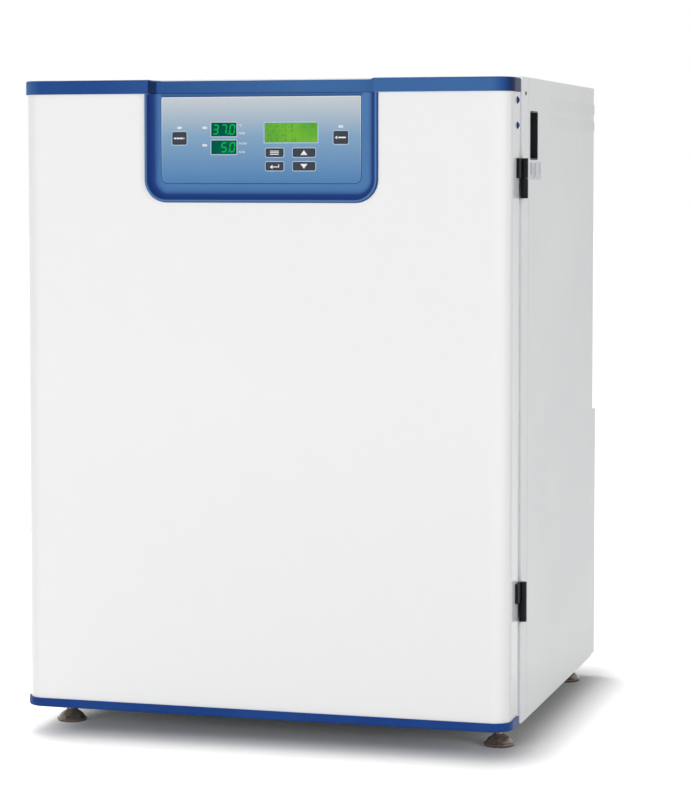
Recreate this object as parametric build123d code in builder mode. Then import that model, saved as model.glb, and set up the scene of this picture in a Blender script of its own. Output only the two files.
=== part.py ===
from build123d import *
import math
import os

# Carbon dioxide incubator for the bench. Millimetres. X runs to the right, Y to the back and Z up.
# The origin is on the floor, under the middle of the overall depth and width of the cabinet.

# Whole instrument
body_width = 660
cabinet_height = 832
cabinet_depth = 500
door_depth = 70
foot_height = 34
rear_cover_depth = 28
rear_cover_height = 363

# Sheets and clearances
sheet = 1.5
flange = 12
slip = 0.3
running = 0.05
snug = 0.1

# Outer door
door_lift = 1
door_drop = 2
top_band = 18
bottom_band = 11.5
cap_wall = 2.5
cap_roof = 3
cap_radius = 25
cap_edge_round = 2.5
cap_dip = 2
cap_dip_slope = 5
door_return = 14
pan_rim_depth = 9
pan_skin = 2
pan_inset = 3.5
pan_corner = 6
pan_recess_corner = 14
pan_recess_gap = 15
seal_gap = 3
seal_width = 12
seal_root_width = 5
seal_root_depth = 3
seal_inset = 7
seal_corner = 14
console_bay_gap = 4
dome_radius = 5
dome_rise = 3
dome_drops = (28.5, 60.5)
dome_belly = 0.45
dome_setback = 22

# Console on the door. Its columns are shares of half the membrane's width, and drops are from the door's top.
console_half_width = 157
console_drop = 159
console_radius = 30
bezel_rim = 5
bezel_edge_round = 1.5
bezel_crest_round = 1.6
dish_slope = 10
dish_depth = 6
dish_floor = 3.8
dish_floor_round = 4
bezel_lip = 6
seam = 0.5
membrane_inset = 24.5
membrane_top_drop = 23.5
membrane_radius = 10
membrane_thickness = 0.8
window_half_width = 17.1
window_height = 17.6
window_column = -0.377
window_drops = (64.7, 87.7)
window_set = 0.3
lcd_column = 0.306
lcd_drop = 69
lcd_width = 70.8
lcd_height = 25.2
lamp_width = 6.6
lamp_height = 3.2
lamp_columns = ((-0.834, 62.3), (0.806, 61.7), (-0.574, 62.4), (-0.574, 85))
key_proud = 0.8
key_travel = 0.8
key_radius = 1.6
key_edge = 0.4
key_flange = 1.2
key_flange_thickness = 1.2
key_dome_radius = 3
key_columns = {
    "left_key": (-0.834, 76, 19, 16),
    "right_key": (0.807, 75.6, 19, 16),
    "menu_key": (0.14, 94.8, 23.4, 10.5),
    "enter_key": (0.14, 112.2, 23.4, 10.5),
    "up_key": (0.438, 94.8, 29.5, 10.5),
    "down_key": (0.438, 112.2, 29.5, 10.5),
}
board_side_gap = 4.5
board_top_drop = 46
board_bottom_drop = 126
board_gap = 4.2
board_thickness = 1.6
board_post_radius = 3
board_post_inset = 5

# Door hinges, lift-off type
hinge_height = 51
upper_hinge_drop = 129.5
lower_hinge_rise = 159.5
knuckle_radius = 5
hinge_pin_radius = 3
hinge_pin_out = 3
hinge_pin_front = 5
hinge_pin_reach = 18
door_leaf_thickness = 4
door_leaf_length = 22
cabinet_leaf_thickness = 3.5
cabinet_leaf_length = 12
leaf_edge = 0.8

# Cabinet casing
frame_wrap = 36
frame_edge = 1.2
casing_gap = 1
mouth_gap = 1
mouth_rise = 28
frame_return = 12
louvre_pitch = 23.5
louvre_first = 182
louvre_drops = (31, 55)
louvre_height = 14
louvre_width = 8
louvre_rise = 1.8
louvre_foot = 2
louvre_sheet = 0.8
pocket_front = 45
pocket_width = 50
pocket_drop = 42.5
pocket_height = 63.5
pocket_depth = 24
pocket_wall = 2
pocket_radius = 4
pocket_lip = 3
rocker_width = 20
rocker_height = 30
rocker_pivot_radius = 2.5
rocker_reach = 6
rocker_dish = 2.5
rocker_back = 2
rocker_floor_gap = 4.5
rocker_cheek = 3
rocker_cheek_half = 6
rocker_tilt = 8
screw_head_radius = 2.6
screw_head_height = 1.2
screw_shank_radius = 1.8
screw_shank_length = 8
rear_screw_rows = 4
rear_screw_margin = 60
frame_screw_back = 17
frame_screw_drop = 21
tongue_half = 8
screw_head_round = 0.9
base_rail_inset = 55
base_rail_width = 15
base_rail_front = 60
base_rail_end = 30
cover_inset = 1

# Chamber and its fittings
chamber_wall = 75
chamber_floor_rise = 72
chamber_rear_wall = 30
bay_height = 120
chamber_radius = 18
chamber_flange = 33
insulation_rise = 28
roof_insulation = 38
insulation_front = 14
heater_thickness = 1
heater_margin = 50
bay_gap = 4
gasket_width = 8
gasket_inner = 2
glass_margin = 12
glass_thickness = 5
glass_back_gap = 3
glass_radius = 12
glass_edge = 0.4
glass_pin_out = 6
glass_pin_front = 6
glass_pin_radius = 2
glass_pin_length = 14
glass_knuckle_radius = 4.5
glass_hinge_rise = 120
glass_ear_height = 8
glass_ear_length = 9
glass_knuckle_height = 16
glass_leaf_width = 22
glass_leaf_thickness = 2
glass_leaf_height = 30
latch_in = 22
latch_gap = 1
latch_knob_radius = 9
latch_knob_height = 7
latch_lever = 31.5
latch_lever_width = 10
latch_lever_thickness = 3
latch_shaft_radius = 4
latch_nut_radius = 7
latch_nut_height = 4
latch_knob_round = 1.5
keeper_gap = 1.5
keeper_height = 12
keeper_lip = 3
keeper_reach = 12
keeper_web = 4

# Shelves, racks and water pan
rack_depth = 10
rack_post_width = 15
rack_front = 60
rack_post_back = 70
rack_rail_front = 50
rack_rail_end = 30
rack_ledge = 15
rack_bottom_gap = 20
rack_sheet = 1.5
rack_guide = 12
rack_top_gap = 60
shelf_first = 108
shelf_top_gap = 232
shelf_count = 3
shelf_front = 45
shelf_back_gap = 29
shelf_side_gap = 17
shelf_thickness = 1.5
shelf_rim = 10
shelf_slot_columns = 3
shelf_slot_rows = 11
shelf_slot_side = 20.5
shelf_slot_end = 16.5
shelf_bridge_x = 35
shelf_bridge_y = 24
water_pan_side_gap = 35
water_pan_front = 50
water_pan_back_gap = 80
water_pan_height = 40
water_pan_radius = 12
water_pan_rim = 8
water_pan_sheet = 1.2

# Air circulation and services
blower_back = 140
duct_side_gap = 105
duct_front_gap = 80
duct_under_wheel = 16
duct_sheet = 1.2
duct_foot_inset = 40
duct_foot_depth = 10
duct_foot_rise = 78
duct_outlet_height = 12
duct_outlet_count = 6
duct_outlet_side = 8
duct_outlet_bridge = 10
duct_outlet_rise = 14
wheel_radius = 55
wheel_height = 30
wheel_hub_radius = 12
wheel_blades = 18
wheel_blade_thickness = 1.2
wheel_blade_inner = 36
wheel_gap = 8
wheel_plate = 1.5
wheel_ring_width = 6
wheel_blade_angle = 35
shaft_radius = 4
shaft_hole_gap = 1.5
motor_radius = 38
motor_height = 52
motor_flange = 46
motor_flange_height = 4
motor_round = 3
shaft_in_motor = 34
filter_radius = 52
filter_height = 42
filter_neck_radius = 30
filter_wall = 3
filter_cap = 4
sensor_in = 55
sensor_back = 90
sensor_radius = 11
sensor_length = 36
probe_radius = 3
probe_length = 60
probe_shift = 40
sensor_flange = 4
port_beside_duct = 40
port_drop = 112
port_inner_radius = 15
port_wall = 2
port_flange_radius = 26
port_flange_thickness = 3
port_inside = 2
stopper_head_radius = 21
stopper_head_length = 12
stopper_reach = 24
stopper_round = 2
service_drop = 40
inlet_in = 125
inlet_width = 30
inlet_height = 24
inlet_flange = 5
inlet_depth = 22
inlet_wall = 2.5
inlet_proud = 2
inlet_pin_width = 4
inlet_pin_thickness = 2
inlet_pin_spread = 7
inlet_pin_recess = 6
gas_beside_inlet = 75
gas_nut_radius = 9
gas_nut_length = 8
gas_stem_radius = 3.5
gas_barb_radius = 5
gas_barb_length = 6
gas_barbs = 2
gas_bore_radius = 1.5
tray_front = 60
tray_back_gap = 10
board_in = 150
board_y = 200
power_board_width = 180
power_board_length = 140
power_board_post = 6
board_blocks = (
    (-52, 26, 54, 46, 42),
    (52, -44, 58, 18, 15),
    (-20, -50, 40, 14, 16),
    (20, 40, 19, 15, 15),
    (44, 40, 19, 15, 15),
    (68, 40, 19, 15, 15),
)
board_cans = ((10, -5, 11, 30), (38, -5, 11, 30), (64, -6, 8, 22), (-62, -48, 8, 22))

# Feet
foot_in = 33
foot_front = 20
foot_rear_in = 22
foot_pad_radius = 20.5
foot_pad_edge = 3
foot_pad_height = 16
foot_neck_radius = 7
foot_stem_radius = 5
foot_stem_rise = 14
foot_hole_gap = 1
foot_boss_radius = 11
foot_boss_height = 12

# Planes and heights that the driving sizes give
half_width = body_width / 2
overall_depth = door_depth + cabinet_depth + rear_cover_depth
door_front_y = -overall_depth / 2
front_y = door_front_y + door_depth
rear_y = front_y + cabinet_depth
cabinet_bottom_z = foot_height
cabinet_top_z = cabinet_bottom_z + cabinet_height
door_bottom_z = cabinet_bottom_z + door_lift
door_top_z = cabinet_top_z - door_drop
top_cap_z = door_top_z - top_band
skin_inset = cap_wall + snug
skin_half_width = half_width - skin_inset
skin_front_y = door_front_y + skin_inset
pan_back_y = front_y - seal_gap
pan_front_y = pan_back_y - pan_rim_depth
dish_floor_y = door_front_y + dish_depth
bezel_back_y = dish_floor_y + dish_floor
board_front_y = bezel_back_y + board_gap
console_top_z = top_cap_z - seam
membrane_half_width = console_half_width - membrane_inset
window_x = membrane_half_width * window_column
lcd_x = membrane_half_width * lcd_column
lamp_places = [(membrane_half_width * column, drop) for column, drop in lamp_columns]
key_places = {name: (membrane_half_width * place[0], *place[1:]) for name, place in key_columns.items()}
board_half_width = membrane_half_width - board_side_gap
console_bottom_z = door_top_z - console_drop
hinge_x = half_width + hinge_pin_out
hinge_y = front_y - hinge_pin_front
glass_front_y = front_y + frame_return - glass_back_gap - glass_thickness
glass_back_y = glass_front_y + glass_thickness
liner_front_y = front_y + frame_return
liner_back_y = rear_y - chamber_rear_wall
chamber_half_width = half_width - chamber_wall
chamber_bottom = cabinet_bottom_z + chamber_floor_rise
chamber_top = cabinet_top_z - bay_height
insulation_bottom = cabinet_bottom_z + insulation_rise
insulation_top = chamber_top + roof_insulation
glass_half_width = chamber_half_width + glass_margin
mouth_half_width = glass_half_width + glass_pin_out + glass_ear_length + mouth_gap
mouth_bottom = chamber_bottom - mouth_rise
mouth_top = chamber_top + mouth_rise
bay_half_width = half_width - pocket_depth - pocket_wall - bay_gap
foot_x = half_width - foot_in
foot_stem_top = cabinet_bottom_z + foot_stem_rise
shaft_y = liner_back_y - blower_back
sensor_x = sensor_in - chamber_half_width
sensor_y = liner_back_y - sensor_back
duct_half_width = chamber_half_width - duct_side_gap
duct_foot_half_width = duct_half_width - duct_foot_inset
port_x = -duct_foot_half_width - port_beside_duct
port_z = chamber_top - port_drop
service_z = cabinet_top_z - service_drop
inlet_x = half_width - inlet_in
gas_x = inlet_x - gas_beside_inlet
shelf_pitch = (chamber_top - shelf_top_gap - chamber_bottom - shelf_first) / (shelf_count - 1)
shelf_levels = [chamber_bottom + shelf_first + shelf_pitch * i for i in range(shelf_count)]

os.makedirs("parts", exist_ok=True)


def keep(builder, name):
    """Labels a finished piece and writes it."""
    builder.part.label = name
    export_step(builder.part, f"parts/{name}.step")


def at_height(z):
    """Level plane at a height above the floor."""
    return Plane.XY.offset(z)


def facing_front(y):
    """Upright plane at a depth, whose sketches are extruded towards the front."""
    return Plane.XZ.offset(-y)


def facing_side(x):
    """Upright plane across the width, whose sketches are extruded towards the right."""
    return Plane.YZ.offset(x)


def block(x, y, z, mode=Mode.ADD):
    """Square-edged piece between two limits on each axis."""
    with Locations(((x[0] + x[1]) / 2, (y[0] + y[1]) / 2, (z[0] + z[1]) / 2)):
        Box(abs(x[1] - x[0]), abs(y[1] - y[0]), abs(z[1] - z[0]), mode=mode)


def panel_outline(half, low, high, radius=0, mode=Mode.ADD):
    """Upright rectangle about the middle of the width, with rounded corners."""
    with Locations((0, (low + high) / 2)):
        if radius:
            RectangleRounded(2 * half, high - low, radius, mode=mode)
        else:
            Rectangle(2 * half, high - low, mode=mode)


def door_outline(inset, back_y, mode=Mode.ADD):
    """The door seen from above, drawn inset from its outside, with two round front corners."""
    front = door_front_y + inset
    half = half_width - inset
    radius = cap_radius - inset
    with BuildLine(mode=Mode.PRIVATE) as rim:
        Polyline((half, back_y), (half, front), (-half, front), (-half, back_y), close=True)
        fillet(rim.vertices().group_by(Axis.Y)[0], radius)
    make_face(rim.edges(), mode=mode)


# Door skin: one sheet bent round both upright edges, with the console's opening in front
skin_bottom_z = door_bottom_z + cap_roof
skin_top_z = door_top_z - cap_roof
with BuildPart() as door_skin:
    with BuildSketch(at_height(skin_bottom_z)):
        door_outline(skin_inset, pan_front_y)
        door_outline(skin_inset + sheet, pan_front_y - sheet, mode=Mode.SUBTRACT)
        with Locations((0, pan_front_y)):
            Rectangle(2 * (skin_half_width - door_return), 4 * sheet, mode=Mode.SUBTRACT)
    extrude(amount=skin_top_z - skin_bottom_z)
    with BuildSketch(facing_front(skin_front_y + 2 * sheet)):
        with Locations((0, skin_top_z)):
            Rectangle(
                2 * (console_half_width - bezel_lip + slip),
                skin_top_z - console_bottom_z - bezel_lip + slip,
                align=(Align.CENTER, Align.MAX),
            )
        fillet(vertices().group_by(Axis.Y)[0], console_radius - bezel_lip)
    extrude(amount=4 * sheet, mode=Mode.SUBTRACT)
keep(door_skin, "door_skin")

# Top cap of the door: hollow moulding over the skin's end, set back in the middle
cap_middle_back_y = dish_floor_y + cap_wall
with BuildPart() as door_top_cap:
    with BuildSketch(at_height(top_cap_z)):
        door_outline(0, pan_front_y)
    extrude(amount=top_band)
    fillet(faces().sort_by(Axis.Z)[-1].edges().sort_by(Axis.Y)[:-1], cap_edge_round)
    with BuildSketch(at_height(top_cap_z)):
        door_outline(cap_wall, pan_front_y)
        with Locations((0, cap_middle_back_y)):
            Rectangle(
                2 * (console_half_width - bezel_lip),
                2 * (cap_middle_back_y - door_front_y),
                mode=Mode.SUBTRACT,
            )
    extrude(amount=top_band - cap_roof, mode=Mode.SUBTRACT)
    with BuildSketch(at_height(top_cap_z)):
        with BuildLine():
            Polyline(
                (console_half_width - bezel_rim, door_front_y),
                (console_half_width - bezel_rim - dish_slope, dish_floor_y),
                (bezel_rim + dish_slope - console_half_width, dish_floor_y),
                (bezel_rim - console_half_width, door_front_y),
                close=True,
            )
        make_face()
        fillet(vertices().group_by(Axis.Y)[-1], dish_floor_round)
    extrude(amount=top_band, mode=Mode.SUBTRACT)
    with BuildSketch(facing_front(pan_front_y)):
        with BuildLine():
            Polyline(
                (console_half_width - bezel_rim, door_top_z),
                (console_half_width - bezel_rim - cap_dip_slope, door_top_z - cap_dip),
                (bezel_rim + cap_dip_slope - console_half_width, door_top_z - cap_dip),
                (bezel_rim - console_half_width, door_top_z),
                close=True,
            )
        make_face()
    extrude(amount=door_depth, mode=Mode.SUBTRACT)
keep(door_top_cap, "door_top_cap")

# Bottom cap of the door: the same moulding, lower and plain
with BuildPart() as door_bottom_cap:
    with BuildSketch(at_height(door_bottom_z)):
        door_outline(0, pan_front_y)
    extrude(amount=bottom_band)
    fillet(faces().sort_by(Axis.Z)[0].edges().sort_by(Axis.Y)[:-1], cap_edge_round)
    with BuildSketch(at_height(door_bottom_z + cap_roof)):
        door_outline(cap_wall, pan_front_y)
    extrude(amount=bottom_band - cap_roof, mode=Mode.SUBTRACT)
keep(door_bottom_cap, "door_bottom_cap")


def console_outline(inset, top, mode=Mode.ADD):
    """The console seen from the front, drawn inset from its outer edge and open at the top."""
    height = top - console_bottom_z - inset
    half = console_half_width - inset
    radius = console_radius - inset
    with BuildLine(mode=Mode.PRIVATE) as rim:
        Polyline((half, top), (half, top - height), (-half, top - height), (-half, top), close=True)
        fillet(rim.vertices().group_by(Axis.Y)[0], radius)
    make_face(rim.edges(), mode=mode)


def membrane_outline(grow=0, mode=Mode.ADD):
    """The membrane seen from the front, or its pocket when it is drawn larger."""
    low = console_bottom_z + membrane_inset - grow
    high = door_top_z - membrane_top_drop + grow
    with Locations((0, (low + high) / 2)):
        RectangleRounded(2 * (membrane_half_width + grow), high - low, membrane_radius + grow, mode=mode)


def console_openings(grow, mode):
    """Windows of the displays and lamps, and holes of the keys, in the sketch that is open."""
    with Locations(*[(window_x, door_top_z - drop) for drop in window_drops]):
        Rectangle(2 * (window_half_width + grow), window_height + 2 * grow, mode=mode)
    with Locations((lcd_x, door_top_z - lcd_drop)):
        Rectangle(lcd_width + 2 * grow, lcd_height + 2 * grow, mode=mode)
    with Locations(*[(x, door_top_z - drop) for x, drop in lamp_places]):
        Rectangle(lamp_width + 2 * grow, lamp_height + 2 * grow, mode=mode)
    for x, drop, width, height in key_places.values():
        with Locations((x, door_top_z - drop)):
            Rectangle(width + 2 * grow, height + 2 * grow, mode=mode)


# Console bezel: dished U-shaped moulding with a rim on the skin and a floor that carries the keypad
with BuildPart() as console_bezel:
    with BuildSketch(facing_front(skin_front_y)):
        console_outline(0, console_top_z)
    extrude(amount=skin_front_y - door_front_y)
    fillet(faces().sort_by(Axis.Y)[0].edges().sort_by(Axis.Z)[:-1], bezel_edge_round)
    with BuildSketch(facing_front(bezel_back_y)):
        console_outline(bezel_lip, console_top_z)
    extrude(amount=bezel_back_y - skin_front_y)
    with BuildSketch(facing_front(door_front_y)):
        console_outline(bezel_rim, console_top_z)
    with BuildSketch(facing_front(dish_floor_y)):
        console_outline(bezel_rim + dish_slope, console_top_z)
    loft(mode=Mode.SUBTRACT)
    crest = edges().filter_by(lambda e: abs(e.center().Y - door_front_y) < snug)
    fillet(crest.filter_by(lambda e: e.center().Z < console_top_z - snug), bezel_crest_round)
    trough = faces().filter_by(Axis.Y).filter_by(lambda f: abs(f.center().Y - dish_floor_y) < snug)
    fillet(trough.edges().sort_by(Axis.Z)[:-1], dish_floor_round)
    with BuildSketch(facing_front(dish_floor_y + membrane_thickness)):
        membrane_outline(snug)
    extrude(amount=membrane_thickness, mode=Mode.SUBTRACT)
    with BuildSketch(facing_front(bezel_back_y)):
        console_openings(slip, Mode.ADD)
    extrude(amount=dish_floor, mode=Mode.SUBTRACT)
keep(console_bezel, "console_bezel")

# Console membrane: printed film on the bezel's floor, with windows and key holes
with BuildPart() as console_membrane:
    with BuildSketch(facing_front(dish_floor_y + membrane_thickness)):
        membrane_outline()
        console_openings(slip, Mode.SUBTRACT)
    extrude(amount=membrane_thickness)
keep(console_membrane, "console_membrane")

# Displays and lamps: blocks that stand on the display board and show in the windows
with BuildPart() as led_displays:
    with BuildSketch(facing_front(board_front_y)):
        with Locations(*[(window_x, door_top_z - drop) for drop in window_drops]):
            Rectangle(2 * window_half_width, window_height)
    extrude(amount=board_front_y - dish_floor_y - window_set)
keep(led_displays, "led_displays")

with BuildPart() as lcd_display:
    with BuildSketch(facing_front(board_front_y)):
        with Locations((lcd_x, door_top_z - lcd_drop)):
            Rectangle(lcd_width, lcd_height)
    extrude(amount=board_front_y - dish_floor_y - window_set)
keep(lcd_display, "lcd_display")

with BuildPart() as indicator_lamps:
    with BuildSketch(facing_front(board_front_y)):
        with Locations(*[(x, door_top_z - drop) for x, drop in lamp_places]):
            RectangleRounded(lamp_width, lamp_height, lamp_height / 3)
    extrude(amount=board_front_y - dish_floor_y)
keep(indicator_lamps, "indicator_lamps")

# Keys: caps that stand proud of the membrane, held behind the bezel's floor by a flange
key_front_y = dish_floor_y - key_proud
key_back_y = bezel_back_y + snug + key_flange_thickness
for name, (x, drop, width, height) in key_places.items():
    with BuildPart() as key:
        with BuildSketch(facing_front(key_back_y)):
            with Locations((x, door_top_z - drop)):
                RectangleRounded(width, height, key_radius)
        extrude(amount=key_back_y - key_front_y)
        fillet(faces().sort_by(Axis.Y)[0].edges(), key_edge)
        with BuildSketch(facing_front(key_back_y)):
            with Locations((x, door_top_z - drop)):
                Rectangle(width + 2 * key_flange, height + 2 * key_flange)
        extrude(amount=key_flange_thickness)
    keep(key, name)

# Display board: circuit board on four posts behind the bezel, with a dome switch under each key
dome_front_y = key_back_y + key_travel + snug
post_x = board_half_width - board_post_inset
with BuildPart() as display_board:
    block(
        (-board_half_width, board_half_width),
        (board_front_y, board_front_y + board_thickness),
        (door_top_z - board_bottom_drop, door_top_z - board_top_drop),
    )
    with BuildSketch(facing_front(board_front_y)):
        for x in (-post_x, post_x):
            for drop in (board_top_drop + board_post_inset, board_bottom_drop - board_post_inset):
                with Locations((x, door_top_z - drop)):
                    Circle(board_post_radius)
    extrude(amount=board_gap)
    with BuildSketch(facing_front(board_front_y)):
        with Locations(*[(x, door_top_z - drop) for x, drop, width, height in key_places.values()]):
            Circle(key_dome_radius)
    extrude(amount=board_front_y - dome_front_y)
keep(display_board, "display_board")

# Door insulation: foam block behind the skin, with a bay for the console
with BuildPart() as door_insulation:
    with BuildSketch(at_height(skin_bottom_z)):
        door_outline(skin_inset + sheet + snug, pan_front_y - sheet - snug)
    extrude(amount=skin_top_z - skin_bottom_z)
    block(
        (-console_half_width, console_half_width),
        (door_front_y, board_front_y + board_thickness + console_bay_gap),
        (console_bottom_z, skin_top_z),
        mode=Mode.SUBTRACT,
    )
keep(door_insulation, "door_insulation")


def ring(half, low, high, width, front, back, radius=0, mode=Mode.ADD):
    """Upright rectangular ring between two depths, measured to its outer edge."""
    inner_radius = max(radius - width, 0)
    with BuildSketch(facing_front(back)) as outline:
        panel_outline(half, low, high, radius)
        panel_outline(half - width, low + width, high - width, inner_radius, mode=Mode.SUBTRACT)
    extrude(outline.sketch, amount=back - front, mode=mode)


# Inner door panel: white moulded pan that closes the door's back and carries the seal
pan_half_width = half_width - pan_inset
pan_bottom_z = door_bottom_z + door_drop
pan_top_z = door_top_z - door_drop
seal_half_width = pan_half_width - seal_inset
seal_low = pan_bottom_z + seal_inset
seal_high = pan_top_z - seal_inset
seal_root_step = (seal_width - seal_root_width) / 2
with BuildPart() as door_inner_panel:
    with BuildSketch(facing_front(pan_back_y)):
        panel_outline(pan_half_width, pan_bottom_z, pan_top_z, pan_corner)
    extrude(amount=pan_rim_depth)
    with BuildSketch(facing_front(pan_back_y)):
        panel_outline(
            mouth_half_width + pan_recess_gap,
            mouth_bottom - pan_recess_gap,
            mouth_top + pan_recess_gap,
            pan_recess_corner,
        )
    extrude(amount=pan_rim_depth - pan_skin, mode=Mode.SUBTRACT)
    ring(
        seal_half_width - seal_root_step + snug,
        seal_low + seal_root_step - snug,
        seal_high - seal_root_step + snug,
        seal_root_width + 2 * snug,
        pan_back_y - seal_root_depth - snug,
        pan_back_y,
        mode=Mode.SUBTRACT,
    )
keep(door_inner_panel, "door_inner_panel")

# Door seal: magnetic gasket all round, with a root in the panel's groove
with BuildPart() as door_gasket:
    ring(seal_half_width, seal_low, seal_high, seal_width, pan_back_y, front_y - slip, seal_corner)
    ring(
        seal_half_width - seal_root_step,
        seal_low + seal_root_step,
        seal_high - seal_root_step,
        seal_root_width,
        pan_back_y - seal_root_depth,
        pan_back_y,
    )
keep(door_gasket, "door_gasket")

# Domed plugs on the door's hinge side
with BuildPart() as door_side_caps:
    for drop in dome_drops:
        dome_centre = (skin_half_width, front_y - dome_setback, door_top_z - drop)
        dome_place = Plane(origin=dome_centre, x_dir=(1, 0, 0), z_dir=(0, 0, 1))
        with BuildSketch(dome_place):
            with BuildLine():
                Line((0, 0), (dome_rise, 0))
                ThreePointArc(
                    (dome_rise, 0),
                    (dome_rise * (1 - dome_belly), dome_radius * math.sqrt(dome_belly)),
                    (0, dome_radius),
                )
                Line((0, dome_radius), (0, 0))
            make_face()
        revolve(axis=Axis(dome_place.origin, (1, 0, 0)))
keep(door_side_caps, "door_side_caps")

# Door hinges: the upper block turns with the door, the lower one carries the pin
leaf_height = (hinge_height - slip) / 2
upper_hinge_z = cabinet_top_z - upper_hinge_drop
lower_hinge_z = cabinet_bottom_z + lower_hinge_rise
hinge_tops = (upper_hinge_z + hinge_height / 2, lower_hinge_z + hinge_height / 2)
with BuildPart() as hinge_door_leaves:
    for top in hinge_tops:
        with BuildSketch(at_height(top - leaf_height)):
            with Locations((skin_half_width, hinge_y)):
                Rectangle(
                    door_leaf_thickness,
                    door_leaf_length,
                    align=(Align.MIN, Align.MAX),
                )
            with Locations((hinge_x, hinge_y)):
                Circle(knuckle_radius)
        extrude(amount=leaf_height)
    front_ends = edges().filter_by(Axis.Z).group_by(Axis.Y)[0]
    chamfer(front_ends.group_by(Axis.X)[-1], leaf_edge)
    with Locations(*[(hinge_x, hinge_y, top - leaf_height) for top in hinge_tops]):
        Cylinder(
            hinge_pin_radius + running,
            hinge_pin_reach + slip,
            align=(Align.CENTER, Align.CENTER, Align.MIN),
            mode=Mode.SUBTRACT,
        )
keep(hinge_door_leaves, "hinge_door_leaves")

with BuildPart() as hinge_cabinet_leaves:
    for top in hinge_tops:
        bottom = top - hinge_height
        with BuildSketch(at_height(bottom)):
            with Locations((half_width, front_y)):
                Rectangle(cabinet_leaf_thickness, cabinet_leaf_length, align=(Align.MIN, Align.MIN))
            with Locations((half_width, hinge_y)):
                Rectangle(cabinet_leaf_thickness, front_y - hinge_y, align=(Align.MIN, Align.MIN))
            with Locations((hinge_x, hinge_y)):
                Circle(knuckle_radius)
        extrude(amount=leaf_height)
        with Locations((hinge_x, hinge_y, bottom)):
            Cylinder(
                hinge_pin_radius,
                leaf_height + slip + hinge_pin_reach,
                align=(Align.CENTER, Align.CENTER, Align.MIN),
            )
    tips = faces().filter_by(Axis.Z).group_by(SortBy.AREA)[0]
    chamfer(tips.edges(), leaf_edge)
keep(hinge_cabinet_leaves, "hinge_cabinet_leaves")

# Front frame: folded fascia that wraps round the cabinet and returns into the chamber's mouth
outer_x = (-half_width, half_width)
foot_places = [(x, y) for y in (front_y + foot_front, rear_y - foot_rear_in) for x in (-foot_x, foot_x)]
frame_screw_y = front_y + frame_screw_back
frame_screw_z = cabinet_top_z - frame_screw_drop
with BuildPart() as front_frame:
    block(outer_x, (front_y, front_y + frame_wrap), (cabinet_bottom_z, cabinet_top_z))
    fillet(faces().sort_by(Axis.Y)[0].edges(), frame_edge)
    block(
        (sheet - half_width, half_width - sheet),
        (front_y + sheet, front_y + frame_wrap),
        (cabinet_bottom_z + sheet, cabinet_top_z - sheet),
        mode=Mode.SUBTRACT,
    )
    block(
        (-mouth_half_width - sheet, mouth_half_width + sheet),
        (front_y, liner_front_y),
        (mouth_bottom - sheet, mouth_top + sheet),
    )
    block(
        (-mouth_half_width, mouth_half_width),
        (front_y, liner_front_y),
        (mouth_bottom, mouth_top),
        mode=Mode.SUBTRACT,
    )
    with Locations(*[(x, y, cabinet_bottom_z) for x, y in foot_places[:2]]):
        Cylinder(foot_stem_radius + foot_hole_gap, 4 * sheet, mode=Mode.SUBTRACT)
    with Locations((0, frame_screw_y, frame_screw_z)):
        Cylinder(screw_shank_radius + snug, 2 * body_width, rotation=(0, 90, 0), mode=Mode.SUBTRACT)
keep(front_frame, "front_frame")


def louvres(side):
    """Two rows of pressed air slots, each a slit behind a sheet flap that slopes out to the back."""
    first = front_y + louvre_first
    columns = 1 + int((rear_y - 2 * sheet - louvre_width - first) // louvre_pitch)
    starts = [first + louvre_pitch * i for i in range(columns)]
    for drop in louvre_drops:
        low = cabinet_top_z - drop - louvre_height / 2
        with BuildSketch(at_height(low)) as slots:
            with Locations(*[(side * half_width, y + louvre_foot) for y in starts]):
                Rectangle(4 * sheet, louvre_width - louvre_foot, align=(Align.CENTER, Align.MIN))
        extrude(slots.sketch, amount=louvre_height, mode=Mode.SUBTRACT)
        with BuildSketch(at_height(low)) as flaps:
            with Locations(*[(side * half_width, y) for y in starts]):
                Polygon(
                    (0, 0),
                    (side * louvre_rise, louvre_width),
                    (side * (louvre_rise - louvre_sheet), louvre_width),
                    (-side * sheet, louvre_foot),
                    (-side * sheet, 0),
                    align=None,
                )
        extrude(flaps.sketch, amount=louvre_height)


def pocket_outline(grow, mode=Mode.ADD):
    """Outline of the switch pocket in the side, on an upright plane across the width."""
    with Locations((sum(pocket_y) / 2, sum(pocket_z) / 2)):
        RectangleRounded(pocket_width + 2 * grow, pocket_height + 2 * grow, pocket_radius + grow, mode=mode)


def side_panel(side):
    """Side of the casing with folded edges, louvres and a tongue for the front frame; side is -1 or 1."""
    outer = side * half_width
    inner = side * (half_width - sheet)
    edge = side * (half_width - flange)
    fold = (cabinet_bottom_z + flange + 2 * sheet, cabinet_top_z - flange - snug)
    with BuildPart() as panel:
        block((outer, inner), (casing_start_y, rear_y - sheet), (cabinet_bottom_z, cabinet_top_z))
        block((outer, edge), (casing_start_y, casing_start_y + sheet), fold)
        block((outer, edge), (rear_y - 2 * sheet, rear_y - sheet), fold)
        block(
            (inner - side * snug, inner - side * (snug + sheet)),
            (frame_screw_y - tongue_half, casing_start_y + sheet),
            (frame_screw_z - tongue_half, frame_screw_z + tongue_half),
        )
        louvres(side)
        with Locations(*[(side * rear_screw_x, rear_y, height) for height in rear_screw_heights]):
            Cylinder(screw_shank_radius + snug, 8 * sheet, rotation=(90, 0, 0), mode=Mode.SUBTRACT)
        with Locations((outer, frame_screw_y, frame_screw_z)):
            Cylinder(screw_shank_radius + snug, 8 * sheet, rotation=(0, 90, 0), mode=Mode.SUBTRACT)
        if side > 0:
            with BuildSketch(facing_side(half_width - 2 * sheet)):
                pocket_outline(snug)
            extrude(amount=4 * sheet, mode=Mode.SUBTRACT)
    return panel


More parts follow.
